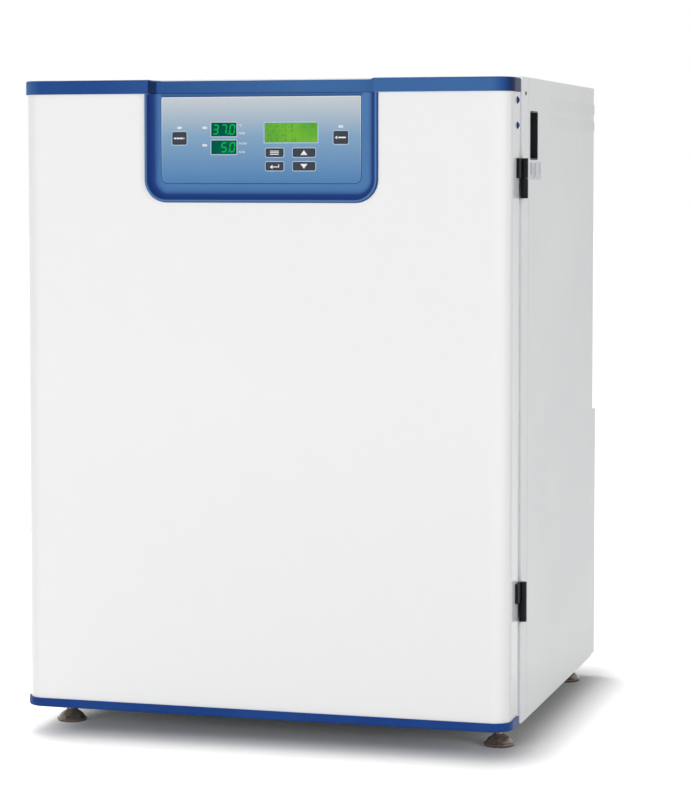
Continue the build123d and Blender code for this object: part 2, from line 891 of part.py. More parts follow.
# Side panels: folded sheets behind the front frame; the right one has the switch pocket's opening
casing_start_y = front_y + frame_wrap + casing_gap
rear_screw_x = half_width - flange / 2
screw_step = (cabinet_height - 2 * rear_screw_margin) / (rear_screw_rows - 1)
rear_screw_heights = [cabinet_bottom_z + rear_screw_margin + screw_step * i for i in range(rear_screw_rows)]
pocket_y = (front_y + pocket_front, front_y + pocket_front + pocket_width)
pocket_z = (cabinet_top_z - pocket_drop - pocket_height, cabinet_top_z - pocket_drop)
for name, side in (("left_side_panel", -1), ("right_side_panel", 1)):
    keep(side_panel(side), name)

# Top panel: lid of the casing, folded down on all four sides between the side panels
inside_x = half_width - sheet - snug
with BuildPart() as top_panel:
    block(
        (-inside_x, inside_x), (casing_start_y, rear_y - sheet), (cabinet_top_z - flange, cabinet_top_z)
    )
    block(
        (sheet - inside_x, inside_x - sheet),
        (casing_start_y + sheet, rear_y - 2 * sheet),
        (cabinet_top_z - flange, cabinet_top_z - sheet),
        mode=Mode.SUBTRACT,
    )
keep(top_panel, "top_panel")

# Base pan: chassis inside the front frame and sides, with two support rails and four foot bosses
pan_floor_z = cabinet_bottom_z + sheet + snug
pan_top_of_floor_z = pan_floor_z + sheet
base_y = (front_y + sheet + snug, rear_y - 2 * sheet)
with BuildPart() as base_pan:
    block((-inside_x, inside_x), base_y, (pan_floor_z, pan_floor_z + flange))
    block(
        (sheet - inside_x, inside_x - sheet),
        (base_y[0] + sheet, base_y[1] - sheet),
        (pan_top_of_floor_z, pan_floor_z + flange),
        mode=Mode.SUBTRACT,
    )
    for side in (-1, 1):
        rail_inner_x = chamber_half_width - base_rail_inset
        rail_x = (side * rail_inner_x, side * (rail_inner_x + base_rail_width))
        rail_hollow_x = (rail_x[0] + side * sheet, rail_x[1] - side * sheet)
        rail_y = (front_y + base_rail_front, rear_y - base_rail_end)
        block(rail_x, rail_y, (pan_floor_z, insulation_bottom))
        block(rail_hollow_x, rail_y, (pan_top_of_floor_z, insulation_bottom - sheet), mode=Mode.SUBTRACT)
    with Locations(*[(x, y, pan_floor_z) for x, y in foot_places]):
        Cylinder(
            foot_boss_radius, sheet + foot_boss_height, align=(Align.CENTER, Align.CENTER, Align.MIN)
        )
        Cylinder(foot_stem_radius + running, 3 * foot_boss_height, mode=Mode.SUBTRACT)
keep(base_pan, "base_pan")

# Rear panel: flat sheet with the openings of the port, the mains inlet and the gas inlet
port_outer_radius = port_inner_radius + port_wall
with BuildPart() as rear_panel:
    with BuildSketch(facing_front(rear_y)):
        panel_outline(half_width, cabinet_bottom_z, cabinet_top_z)
        with Locations((port_x, port_z)):
            Circle(port_outer_radius + snug, mode=Mode.SUBTRACT)
        with Locations((inlet_x, service_z)):
            Rectangle(inlet_width + 2 * snug, inlet_height + 2 * snug, mode=Mode.SUBTRACT)
        with Locations((gas_x, service_z)):
            Circle(gas_stem_radius + snug, mode=Mode.SUBTRACT)
        with Locations(*[(side * rear_screw_x, height) for side in (-1, 1) for height in rear_screw_heights]):
            Circle(screw_shank_radius + snug, mode=Mode.SUBTRACT)
    extrude(amount=sheet)
keep(rear_panel, "rear_panel")

# Lower rear cover: shallow pan over the lower part of the back
cover_x = half_width - cover_inset
cover_z = (cabinet_bottom_z + cover_inset, cabinet_bottom_z + rear_cover_height)
with BuildPart() as rear_lower_cover:
    block((-cover_x, cover_x), (rear_y, rear_y + rear_cover_depth), cover_z)
    block(
        (sheet - cover_x, cover_x - sheet),
        (rear_y, rear_y + rear_cover_depth - sheet),
        (cover_z[0] + sheet, cover_z[1] - sheet),
        mode=Mode.SUBTRACT,
    )
keep(rear_lower_cover, "rear_lower_cover")

# Casing screws: domed heads with their shanks, in the back and on both sides of the front frame
with BuildPart() as cabinet_screws:
    screw_places = [
        Plane(origin=(side * rear_screw_x, rear_y, height), z_dir=(0, 1, 0))
        for side in (-1, 1)
        for height in rear_screw_heights
    ]
    for side in (-1, 1):
        screw_head = (side * half_width, frame_screw_y, frame_screw_z)
        screw_places.append(Plane(origin=screw_head, z_dir=(side, 0, 0)))
    with Locations(*screw_places):
        Cylinder(screw_head_radius, screw_head_height, align=(Align.CENTER, Align.CENTER, Align.MIN))
        Cylinder(screw_shank_radius, screw_shank_length, align=(Align.CENTER, Align.CENTER, Align.MAX))
    fillet(faces().filter_by(GeomType.PLANE).group_by(SortBy.AREA)[-1].edges(), screw_head_round)
keep(cabinet_screws, "cabinet_screws")

# Chamber insulation: five slabs round the liner
slab_x = half_width - flange - slip
liner_x = chamber_half_width + sheet
side_slab_x = liner_x + sheet
slab_front_y = front_y + insulation_front
slab_back_y = liner_back_y + 2 * sheet
insulation_back_y = rear_y - 3 * sheet
with BuildPart() as insulation:
    for side in (-1, 1):
        block(
            (side * side_slab_x, side * slab_x),
            (slab_front_y, slab_back_y - slip),
            (insulation_bottom, insulation_top),
        )
    block((-slab_x, slab_x), (slab_back_y, insulation_back_y), (insulation_bottom, insulation_top))
    for low, high in (
        (insulation_bottom, chamber_bottom - 2 * sheet),
        (chamber_top + 2 * sheet, insulation_top),
    ):
        block((slip - side_slab_x, side_slab_x - slip), (slab_front_y, slab_back_y - slip), (low, high))
    block(
        (half_width - pocket_depth - pocket_wall - slip, slab_x),
        (pocket_y[0] - slip, pocket_y[1] + slip),
        (pocket_z[0] - slip, insulation_top),
        mode=Mode.SUBTRACT,
    )
    with Locations((port_x, rear_y, port_z)):
        Cylinder(port_outer_radius + slip, 4 * chamber_flange, rotation=(90, 0, 0), mode=Mode.SUBTRACT)
    with Locations((0, shaft_y, insulation_top)):
        Cylinder(shaft_radius + shaft_hole_gap, 4 * chamber_flange, mode=Mode.SUBTRACT)
    with Locations((sensor_x, sensor_y, insulation_top)):
        Cylinder(sensor_radius + slip, 4 * chamber_flange, mode=Mode.SUBTRACT)
    with Locations((sensor_x + probe_shift, sensor_y, insulation_top)):
        Cylinder(probe_radius + slip, 4 * chamber_flange, mode=Mode.SUBTRACT)
keep(insulation, "insulation")

# Chamber liner: pressed steel box with coved corners and a flange behind the frame's mouth
with BuildPart() as chamber_liner:
    block(
        (-liner_x, liner_x),
        (liner_front_y, liner_back_y + sheet),
        (chamber_bottom - sheet, chamber_top + sheet),
    )
    fillet(edges().filter_by(lambda e: e.center().Y > liner_front_y + snug), chamber_radius + sheet)
    offset(amount=-sheet, openings=faces().sort_by(Axis.Y)[0])
    with BuildSketch(facing_front(liner_front_y + sheet)):
        panel_outline(
            chamber_half_width + chamber_flange, chamber_bottom - chamber_flange, chamber_top + chamber_flange
        )
        panel_outline(chamber_half_width, chamber_bottom, chamber_top, chamber_radius, mode=Mode.SUBTRACT)
    extrude(amount=sheet)
    with Locations((port_x, rear_y, port_z)):
        Cylinder(port_outer_radius + snug, 4 * chamber_flange, rotation=(90, 0, 0), mode=Mode.SUBTRACT)
    with Locations((0, shaft_y, chamber_top)):
        Cylinder(shaft_radius + shaft_hole_gap, 4 * flange, mode=Mode.SUBTRACT)
    with Locations((sensor_x, sensor_y, chamber_top)):
        Cylinder(sensor_radius + snug, 4 * flange, mode=Mode.SUBTRACT)
    with Locations((sensor_x + probe_shift, sensor_y, chamber_top)):
        Cylinder(probe_radius + snug, 4 * flange, mode=Mode.SUBTRACT)
keep(chamber_liner, "chamber_liner")

# Heating pads: thin mats on the liner's sides and floor
with BuildPart() as heating_pads:
    pad_y = (liner_front_y + heater_margin, liner_back_y - heater_margin)
    for side in (-1, 1):
        block(
            (side * liner_x, side * (liner_x + heater_thickness)),
            pad_y,
            (chamber_bottom + heater_margin, chamber_top - heater_margin),
        )
    block(
        (heater_margin - liner_x, liner_x - heater_margin),
        pad_y,
        (chamber_bottom - sheet - heater_thickness, chamber_bottom - sheet),
    )
keep(heating_pads, "heating_pads")

# Chamber seal: silicone ring on the liner's flange, round the mouth of the chamber
with BuildPart() as chamber_gasket:
    reach = gasket_inner + gasket_width
    ring(
        chamber_half_width + reach,
        chamber_bottom - reach,
        chamber_top + reach,
        gasket_width,
        glass_back_y + slip,
        liner_front_y,
        chamber_radius + reach,
    )
keep(chamber_gasket, "chamber_gasket")

# Glass door: toughened pane with two leaves bonded on its front
glass_low = chamber_bottom - glass_margin
glass_high = chamber_top + glass_margin
glass_pin = (glass_half_width + glass_pin_out, glass_front_y - glass_pin_front)
glass_hinge_heights = (chamber_bottom + glass_hinge_rise, chamber_top - glass_hinge_rise)
latch_x = latch_in - glass_half_width
latch_z = (chamber_bottom + chamber_top) / 2
with BuildPart() as glass_pane:
    with BuildSketch(facing_front(glass_back_y)):
        panel_outline(glass_half_width, glass_low, glass_high, glass_radius)
        with Locations((latch_x, latch_z)):
            Circle(latch_shaft_radius + running, mode=Mode.SUBTRACT)
    extrude(amount=glass_thickness)
    chamfer(faces().filter_by(Axis.Y).edges().filter_by(GeomType.LINE), glass_edge)
keep(glass_pane, "glass_pane")

with BuildPart() as glass_hinge_leaves:
    for height in glass_hinge_heights:
        block(
            (glass_half_width - glass_leaf_width, glass_half_width),
            (glass_front_y - glass_leaf_thickness, glass_front_y),
            (height - glass_leaf_height / 2, height + glass_leaf_height / 2),
        )
        with BuildSketch(at_height(height - glass_knuckle_height / 2)):
            with Locations(glass_pin):
                Circle(glass_knuckle_radius)
            with Locations((glass_half_width - glass_leaf_thickness, glass_front_y)):
                Rectangle(
                    glass_pin_out + glass_leaf_thickness,
                    glass_pin_front,
                    align=(Align.MIN, Align.MAX),
                )
        extrude(amount=glass_knuckle_height)
    with Locations(*[(*glass_pin, height - glass_knuckle_height / 2) for height in glass_hinge_heights]):
        Cylinder(
            glass_pin_radius + running,
            glass_pin_length + slip,
            align=(Align.CENTER, Align.CENTER, Align.MIN),
            mode=Mode.SUBTRACT,
        )
keep(glass_hinge_leaves, "glass_hinge_leaves")

# Brackets of the glass door: two ears with pins on the right and the latch's keeper on the left
with BuildPart() as glass_door_brackets:
    for height in glass_hinge_heights:
        ear_top = height - glass_knuckle_height / 2 - slip
        with BuildSketch(at_height(ear_top - glass_ear_height)):
            with Locations(glass_pin):
                Circle(glass_knuckle_radius)
                Rectangle(
                    glass_ear_length, liner_front_y - glass_pin[1], align=(Align.MIN, Align.MIN)
                )
        extrude(amount=glass_ear_height)
        with Locations((*glass_pin, ear_top)):
            Cylinder(
                glass_pin_radius,
                slip + glass_pin_length,
                align=(Align.CENTER, Align.CENTER, Align.MIN),
            )
    keeper_x = latch_x - latch_lever - keeper_gap
    keeper_z = (latch_z - keeper_height / 2, latch_z + keeper_height / 2)
    keeper_back_y = glass_front_y - latch_gap - latch_lever_thickness - slip
    block((keeper_x - keeper_web, keeper_x), (keeper_back_y - keeper_lip, liner_front_y), keeper_z)
    block(
        (keeper_x - keeper_web, keeper_x - keeper_web + keeper_reach),
        (keeper_back_y - keeper_lip, keeper_back_y),
        keeper_z,
    )
keep(glass_door_brackets, "glass_door_brackets")

# Latch of the glass door: knob with a lever that turns in behind the keeper, on a shaft with a nut
with BuildPart() as latch_knob:
    lever_back_y = glass_front_y - latch_gap
    with BuildSketch(facing_front(lever_back_y)):
        with Locations((latch_x, latch_z)):
            Circle(latch_knob_radius)
            Rectangle(
                latch_lever_width,
                latch_lever - latch_lever_width / 2,
                align=(Align.CENTER, Align.MIN),
            )
        with Locations((latch_x, latch_z + latch_lever - latch_lever_width / 2)):
            Circle(latch_lever_width / 2)
    extrude(amount=latch_lever_thickness)
    with BuildSketch(facing_front(lever_back_y - latch_lever_thickness)):
        with Locations((latch_x, latch_z)):
            Circle(latch_knob_radius)
    extrude(amount=latch_knob_height)
    fillet(faces().sort_by(Axis.Y)[0].edges(), latch_knob_round)
    with BuildSketch(facing_front(glass_back_y + slip + latch_nut_height)):
        with Locations((latch_x, latch_z)):
            Circle(latch_shaft_radius)
    extrude(amount=glass_back_y + slip + latch_nut_height - lever_back_y)
    with BuildSketch(facing_front(glass_back_y + slip + latch_nut_height)):
        with Locations((latch_x, latch_z)):
            RegularPolygon(latch_nut_radius, 6)
    extrude(amount=latch_nut_height)
keep(latch_knob, "latch_knob")

# Shelf racks: two upright posts and three angle rails on each side wall of the chamber
post_back_x = chamber_half_width
post_front_x = chamber_half_width - rack_depth
rack_low = chamber_bottom + rack_bottom_gap
with BuildPart() as shelf_racks:
    for side in (-1, 1):
        for start in (front_y + rack_front, liner_back_y - rack_post_back):
            block(
                (side * post_front_x, side * post_back_x),
                (start, start + rack_post_width),
                (rack_low, chamber_top - rack_top_gap),
            )
        for level in shelf_levels:
            rail_y = (front_y + rack_rail_front, liner_back_y - rack_rail_end)
            block(
                (side * (post_front_x - rack_ledge), side * post_front_x),
                rail_y,
                (level - rack_sheet, level),
            )
            block(
                (side * (post_front_x - rack_sheet), side * post_front_x),
                rail_y,
                (level - rack_sheet, level + rack_guide),
            )
keep(shelf_racks, "shelf_racks")

# Shelves: perforated plates with a rim folded down, each on its own pair of rails
shelf_x = chamber_half_width - shelf_side_gap
shelf_y = (front_y + shelf_front, liner_back_y - shelf_back_gap)
slot_pitch_x = 2 * (shelf_x - shelf_slot_side) / shelf_slot_columns
slot_pitch_y = (shelf_y[1] - shelf_y[0] - 2 * shelf_slot_end) / shelf_slot_rows
for number, level in enumerate(shelf_levels, 1):
    shelf_z = (level + slip, level + slip + shelf_rim)
    with BuildPart() as shelf:
        block((-shelf_x, shelf_x), shelf_y, shelf_z)
        block(
            (shelf_thickness - shelf_x, shelf_x - shelf_thickness),
            (shelf_y[0] + shelf_thickness, shelf_y[1] - shelf_thickness),
            (shelf_z[0], shelf_z[1] - shelf_thickness),
            mode=Mode.SUBTRACT,
        )
        with BuildSketch(at_height(shelf_z[1])):
            with Locations((0, sum(shelf_y) / 2)):
                with GridLocations(slot_pitch_x, slot_pitch_y, shelf_slot_columns, shelf_slot_rows):
                    Rectangle(slot_pitch_x - shelf_bridge_x, slot_pitch_y - shelf_bridge_y)
        extrude(amount=-shelf_rim, mode=Mode.SUBTRACT)
    keep(shelf, f"shelf_{number}")

# Water pan: thin tray on the chamber's floor that keeps the air moist
water_low = chamber_bottom + slip
water_pan_half_width = chamber_half_width - water_pan_side_gap
water_front_y = front_y + water_pan_front
water_pan_length = liner_back_y - water_pan_back_gap - water_front_y
water_y = water_front_y + water_pan_length / 2
with BuildPart() as water_pan:
    with BuildSketch(at_height(water_low)):
        with Locations((0, water_y)):
            RectangleRounded(2 * water_pan_half_width, water_pan_length, water_pan_radius)
    extrude(amount=water_pan_height)
    with BuildSketch(at_height(water_low + water_pan_height - water_pan_sheet)):
        with Locations((0, water_y)):
            RectangleRounded(
                2 * (water_pan_half_width + water_pan_rim),
                water_pan_length + 2 * water_pan_rim,
                water_pan_radius + water_pan_rim,
            )
    extrude(amount=water_pan_sheet)
    with BuildSketch(at_height(water_low + water_pan_sheet)):
        with Locations((0, water_y)):
            RectangleRounded(
                2 * (water_pan_half_width - water_pan_sheet),
                water_pan_length - 2 * water_pan_sheet,
                water_pan_radius - water_pan_sheet,
            )
    extrude(amount=water_pan_height, mode=Mode.SUBTRACT)
keep(water_pan, "water_pan")

# Air duct: sheet channel under the ceiling round the blower wheel, that runs down the back wall
duct_low = chamber_top - wheel_gap - wheel_height - duct_under_wheel
duct_front_y = shaft_y - duct_front_gap
duct_foot_bottom = chamber_bottom + duct_foot_rise
duct_outlet_pitch = 2 * (duct_foot_half_width - duct_outlet_side) / duct_outlet_count
duct_back_y = liner_back_y
with BuildPart() as air_duct:
    with BuildSketch(facing_side(-duct_half_width)):
        with BuildLine():
            Polyline(
                (duct_front_y, duct_low),
                (duct_back_y, duct_low),
                (duct_back_y, chamber_top),
                (duct_front_y, chamber_top),
                close=True,
            )
        make_face()
        fillet(vertices().group_by(Axis.X)[-1].sort_by(Axis.Y)[-1], chamber_radius + snug)
    extrude(amount=2 * duct_half_width)
    block(
        (-duct_foot_half_width, duct_foot_half_width),
        (duct_back_y - duct_foot_depth, duct_back_y),
        (duct_foot_bottom, duct_low + duct_sheet),
    )
    block(
        (duct_sheet - duct_half_width, duct_half_width - duct_sheet),
        (duct_front_y + duct_sheet, duct_back_y),
        (duct_low + duct_sheet, chamber_top),
        mode=Mode.SUBTRACT,
    )
    block(
        (duct_sheet - duct_foot_half_width, duct_foot_half_width - duct_sheet),
        (duct_back_y - duct_foot_depth + duct_sheet, duct_back_y),
        (duct_foot_bottom + duct_sheet, duct_low + 2 * duct_sheet),
        mode=Mode.SUBTRACT,
    )
    with BuildSketch(facing_front(duct_back_y - duct_foot_depth + duct_sheet)):
        with Locations((0, duct_foot_bottom + duct_outlet_rise + duct_outlet_height / 2)):
            with GridLocations(duct_outlet_pitch, duct_outlet_height, duct_outlet_count, 1):
                Rectangle(duct_outlet_pitch - duct_outlet_bridge, duct_outlet_height)
    extrude(amount=2 * duct_sheet, mode=Mode.SUBTRACT)
    with Locations((0, shaft_y, duct_low)):
        Cylinder(filter_neck_radius + snug, 4 * duct_sheet, mode=Mode.SUBTRACT)
keep(air_duct, "air_duct")

# Air filter: round cartridge that hangs under the duct's inlet
filter_low = duct_low - filter_height
with BuildPart() as air_filter:
    with Locations((0, shaft_y, filter_low)):
        Cylinder(filter_radius, filter_height, align=(Align.CENTER, Align.CENTER, Align.MIN))
        Cylinder(
            filter_neck_radius,
            filter_height + 2 * duct_sheet,
            align=(Align.CENTER, Align.CENTER, Align.MIN),
        )
    with Locations((0, shaft_y, filter_low + filter_cap)):
        Cylinder(
            filter_neck_radius - filter_wall,
            filter_height,
            align=(Align.CENTER, Align.CENTER, Align.MIN),
            mode=Mode.SUBTRACT,
        )
keep(air_filter, "air_filter")

# Blower: backward-curved wheel on a shaft that comes down through the ceiling
wheel_top = chamber_top - wheel_gap
wheel_low = wheel_top - wheel_height
with BuildPart() as blower_wheel:
    with BuildSketch(at_height(wheel_top - wheel_plate)):
        with Locations((0, shaft_y)):
            Circle(wheel_radius)
    extrude(amount=wheel_plate)
    with BuildSketch(at_height(wheel_low)):
        with Locations((0, shaft_y)):
            Circle(wheel_hub_radius)
            with PolarLocations((wheel_radius + wheel_blade_inner) / 2, wheel_blades):
                Rectangle(wheel_radius - wheel_blade_inner, wheel_blade_thickness, rotation=wheel_blade_angle)
    extrude(amount=wheel_height - wheel_plate / 2)
    with BuildSketch(at_height(wheel_low)):
        with Locations((0, shaft_y)):
            Circle(wheel_radius)
            Circle(wheel_radius - wheel_ring_width, mode=Mode.SUBTRACT)
    extrude(amount=wheel_plate)
    with Locations((0, shaft_y, wheel_low)):
        Cylinder(shaft_radius, 4 * wheel_height, mode=Mode.SUBTRACT)
keep(blower_wheel, "blower_wheel")

tray_top = insulation_top + sheet
with BuildPart() as blower_shaft:
    with Locations((0, shaft_y, wheel_low)):
        Cylinder(
            shaft_radius,
            tray_top + shaft_in_motor - wheel_low,
            align=(Align.CENTER, Align.CENTER, Align.MIN),
        )
keep(blower_shaft, "blower_shaft")

# Blower motor: round housing on a flange, on the electronics tray
with BuildPart() as blower_motor:
    with Locations((0, shaft_y, tray_top)):
        Cylinder(motor_flange, motor_flange_height, align=(Align.CENTER, Align.CENTER, Align.MIN))
        Cylinder(
            motor_radius, motor_flange_height + motor_height, align=(Align.CENTER, Align.CENTER, Align.MIN)
        )
    fillet(faces().sort_by(Axis.Z)[-1].edges(), motor_round)
    with Locations((0, shaft_y, tray_top)):
        Cylinder(
            shaft_radius + running,
            shaft_in_motor + slip,
            align=(Align.CENTER, Align.CENTER, Align.MIN),
            mode=Mode.SUBTRACT,
        )
keep(blower_motor, "blower_motor")

# Electronics tray: folded sheet on top of the insulation
tray_y = (front_y + tray_front, rear_y - tray_back_gap)
with BuildPart() as electronics_tray:
    block((-bay_half_width, bay_half_width), tray_y, (insulation_top, insulation_top + flange))
    block(
        (sheet - bay_half_width, bay_half_width - sheet),
        (tray_y[0] + sheet, tray_y[1] - sheet),
        (tray_top, insulation_top + flange),
        mode=Mode.SUBTRACT,
    )
    with Locations((0, shaft_y, insulation_top)):
        Cylinder(shaft_radius + shaft_hole_gap, 4 * sheet, mode=Mode.SUBTRACT)
    with Locations((sensor_x, sensor_y, insulation_top)):
        Cylinder(sensor_radius + snug, 4 * sheet, mode=Mode.SUBTRACT)
    with Locations((sensor_x + probe_shift, sensor_y, insulation_top)):
        Cylinder(probe_radius + snug, 4 * sheet, mode=Mode.SUBTRACT)
keep(electronics_tray, "electronics_tray")

# Power board: circuit board on four posts with a transformer, relays and capacitors
board_low = tray_top + power_board_post
board_top = board_low + board_thickness
board_centre = (bay_half_width - board_in, front_y + board_y)
with BuildPart() as power_board:
    with Locations((*board_centre, board_low)):
        Box(
            power_board_width,
            power_board_length,
            board_thickness,
            align=(Align.CENTER, Align.CENTER, Align.MIN),
        )
        post_pitch_x = power_board_width - 4 * board_post_radius
        post_pitch_y = power_board_length - 4 * board_post_radius
        with GridLocations(post_pitch_x, post_pitch_y, 2, 2):
            Cylinder(board_post_radius, power_board_post, align=(Align.CENTER, Align.CENTER, Align.MAX))
    for x, y, width, length, height in board_blocks:
        with Locations((board_centre[0] + x, board_centre[1] + y, board_top)):
            Box(width, length, height, align=(Align.CENTER, Align.CENTER, Align.MIN))
    for x, y, radius, height in board_cans:
        with Locations((board_centre[0] + x, board_centre[1] + y, board_top)):
            Cylinder(radius, height, align=(Align.CENTER, Align.CENTER, Align.MIN))
keep(power_board, "power_board")

# Chamber sensors: gas sensor head and a temperature probe on one plate, through the ceiling
with BuildPart() as chamber_sensors:
    with BuildSketch(at_height(tray_top)):
        with Locations((sensor_x + probe_shift / 2, sensor_y)):
            SlotCenterToCenter(probe_shift, 2 * (sensor_radius + sensor_flange))
    extrude(amount=sensor_flange)
    with Locations((sensor_x, sensor_y, tray_top + sensor_flange)):
        Cylinder(
            sensor_radius,
            tray_top + sensor_flange - chamber_top + sensor_length,
            align=(Align.CENTER, Align.CENTER, Align.MAX),
        )
    with Locations((sensor_x + probe_shift, sensor_y, tray_top + sensor_flange)):
        Cylinder(
            probe_radius,
            tray_top + sensor_flange - chamber_top + probe_length,
            align=(Align.CENTER, Align.CENTER, Align.MAX),
        )
keep(chamber_sensors, "chamber_sensors")

# Access port: flanged tube through the back, closed by a stopper
port_out_y = rear_y + port_flange_thickness
with BuildPart() as access_port:
    with BuildSketch(facing_front(port_out_y)):
        with Locations((port_x, port_z)):
            Circle(port_outer_radius)
    extrude(amount=port_out_y - liner_back_y + port_inside)
    with BuildSketch(facing_front(port_out_y)):
        with Locations((port_x, port_z)):
            Circle(port_flange_radius)
    extrude(amount=port_flange_thickness)
    with BuildSketch(facing_front(port_out_y)):
        with Locations((port_x, port_z)):
            Circle(port_inner_radius)
    extrude(amount=2 * chamber_flange, mode=Mode.SUBTRACT)
keep(access_port, "access_port")

with BuildPart() as port_stopper:
    with BuildSketch(facing_front(port_out_y + slip + stopper_head_length)):
        with Locations((port_x, port_z)):
            Circle(stopper_head_radius)
    extrude(amount=stopper_head_length)
    fillet(faces().sort_by(Axis.Y)[-1].edges(), stopper_round)
    with BuildSketch(facing_front(port_out_y + slip)):
        with Locations((port_x, port_z)):
            Circle(port_inner_radius - snug)
    extrude(amount=stopper_reach)
    chamfer(faces().sort_by(Axis.Y)[0].edges(), stopper_round)
keep(port_stopper, "port_stopper")

# Mains inlet: appliance inlet with three pins in its recess
inlet_back_y = rear_y + inlet_proud
with BuildPart() as power_inlet:
    with BuildSketch(facing_front(inlet_back_y)):
        with Locations((inlet_x, service_z)):
            RectangleRounded(inlet_width + 2 * inlet_flange, inlet_height + inlet_flange, inlet_wall)
    extrude(amount=inlet_proud)
    with BuildSketch(facing_front(inlet_back_y)):
        with Locations((inlet_x, service_z)):
            Rectangle(inlet_width, inlet_height)
    extrude(amount=inlet_depth)
    with BuildSketch(facing_front(inlet_back_y)):
        with Locations((inlet_x, service_z)):
            RectangleRounded(inlet_width - 2 * inlet_wall, inlet_height - 2 * inlet_wall, inlet_wall)
            outer_pins = [(side * inlet_pin_spread, -inlet_pin_width / 2) for side in (-1, 1)]
            with Locations((0, inlet_pin_width), *outer_pins):
                Rectangle(inlet_pin_thickness, inlet_pin_width, mode=Mode.SUBTRACT)
    extrude(amount=inlet_depth - inlet_wall, mode=Mode.SUBTRACT)
    with BuildSketch(facing_front(inlet_back_y)):
        with Locations((inlet_x, service_z)):
            RectangleRounded(inlet_width - 2 * inlet_wall, inlet_height - 2 * inlet_wall, inlet_wall)
    extrude(amount=inlet_pin_recess, mode=Mode.SUBTRACT)
keep(power_inlet, "power_inlet")

# Gas inlet: bulkhead nut and barbed hose stem
with BuildPart() as gas_inlet:
    with BuildSketch(facing_front(rear_y + gas_nut_length)):
        with Locations((gas_x, service_z)):
            RegularPolygon(gas_nut_radius, 6)
    extrude(amount=gas_nut_length)
    with BuildSketch(facing_front(rear_y + gas_nut_length + gas_barbs * gas_barb_length)):
        with Locations((gas_x, service_z)):
            Circle(gas_stem_radius)
    extrude(amount=2 * gas_nut_length + gas_barbs * gas_barb_length)
    barb_starts = [rear_y + gas_nut_length + gas_barb_length * i for i in range(gas_barbs)]
    with Locations(*[Plane(origin=(gas_x, y, service_z), z_dir=(0, 1, 0)) for y in barb_starts]):
        Cone(gas_barb_radius, gas_stem_radius, gas_barb_length, align=(Align.CENTER, Align.CENTER, Align.MIN))
    with Locations((gas_x, rear_y, service_z)):
        Cylinder(gas_bore_radius, 8 * gas_nut_length, rotation=(90, 0, 0), mode=Mode.SUBTRACT)
keep(gas_inlet, "gas_inlet")

# Switch pocket: moulded tray in the right side with two cheeks that carry the rocker
pocket_floor_x = half_width - pocket_depth
pocket_middle = (sum(pocket_y) / 2, sum(pocket_z) / 2)
rocker_x = pocket_floor_x + rocker_floor_gap
with BuildPart() as switch_pocket:
    with BuildSketch(facing_side(pocket_floor_x - pocket_wall)):
        pocket_outline(0)
    extrude(amount=pocket_depth + pocket_wall)
    with BuildSketch(facing_side(half_width - sheet - snug - pocket_wall)):
        pocket_outline(pocket_lip)
    extrude(amount=pocket_wall)
    with BuildSketch(facing_side(pocket_floor_x)):
        pocket_outline(-pocket_wall)
    extrude(amount=pocket_depth, mode=Mode.SUBTRACT)
    for side in (-1, 1):
        cheek = pocket_middle[0] + side * (rocker_width / 2 + slip)
        block(
            (pocket_floor_x, rocker_x + 2 * rocker_pivot_radius),
            (cheek, cheek + side * rocker_cheek),
            (pocket_middle[1] - rocker_cheek_half, pocket_middle[1] + rocker_cheek_half),
        )
    with Locations((rocker_x, *pocket_middle)):
        Cylinder(
            rocker_pivot_radius + running,
            rocker_width + 2 * slip + 2 * rocker_cheek,
            rotation=(90, 0, 0),
            mode=Mode.SUBTRACT,
        )
keep(switch_pocket, "switch_pocket")

# Mains rocker: dished key on a cross pin, tipped to its lower side at rest
rocker_half = rocker_height / 2
rocker_place = Plane(
    origin=(rocker_x, pocket_middle[0] + rocker_width / 2, pocket_middle[1]),
    x_dir=(math.cos(math.radians(rocker_tilt)), 0, math.sin(math.radians(rocker_tilt))),
    z_dir=(0, -1, 0),
)
with BuildPart() as mains_rocker:
    with BuildSketch(rocker_place):
        with BuildLine():
            Polyline(
                (-rocker_back, 0), (-rocker_back, rocker_half), (rocker_reach, rocker_half)
            )
            ThreePointArc(
                (rocker_reach, rocker_half), (rocker_reach - rocker_dish, 0), (rocker_reach, -rocker_half)
            )
            Polyline((rocker_reach, -rocker_half), (-rocker_back, -rocker_half), (-rocker_back, 0))
        make_face()
    extrude(amount=rocker_width)
    with Locations((rocker_x, *pocket_middle)):
        Cylinder(
            rocker_pivot_radius,
            rocker_width + 2 * rocker_cheek,
            rotation=(90, 0, 0),
        )
keep(mains_rocker, "mains_rocker")

# Levelling feet: round pad with a threaded stem in a boss of the base pan
for number, (x, y) in enumerate(foot_places, 1):
    with BuildPart() as foot:
        foot_place = Plane(origin=(x, y, 0), x_dir=(1, 0, 0), z_dir=(0, -1, 0))
        with BuildSketch(foot_place):
            with BuildLine():
                Polyline(
                    (0, 0),
                    (foot_pad_radius, 0),
                    (foot_pad_radius, foot_pad_edge),
                    (foot_neck_radius, foot_pad_height),
                    (foot_stem_radius, foot_pad_height),
                    (foot_stem_radius, foot_stem_top),
                    (0, foot_stem_top),
                    close=True,
                )
            make_face()
        revolve(axis=Axis((x, y, 0), (0, 0, 1)))
    keep(foot, f"foot_{number}")
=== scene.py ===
import bmesh
import bpy
import math
from mathutils import Matrix, Vector


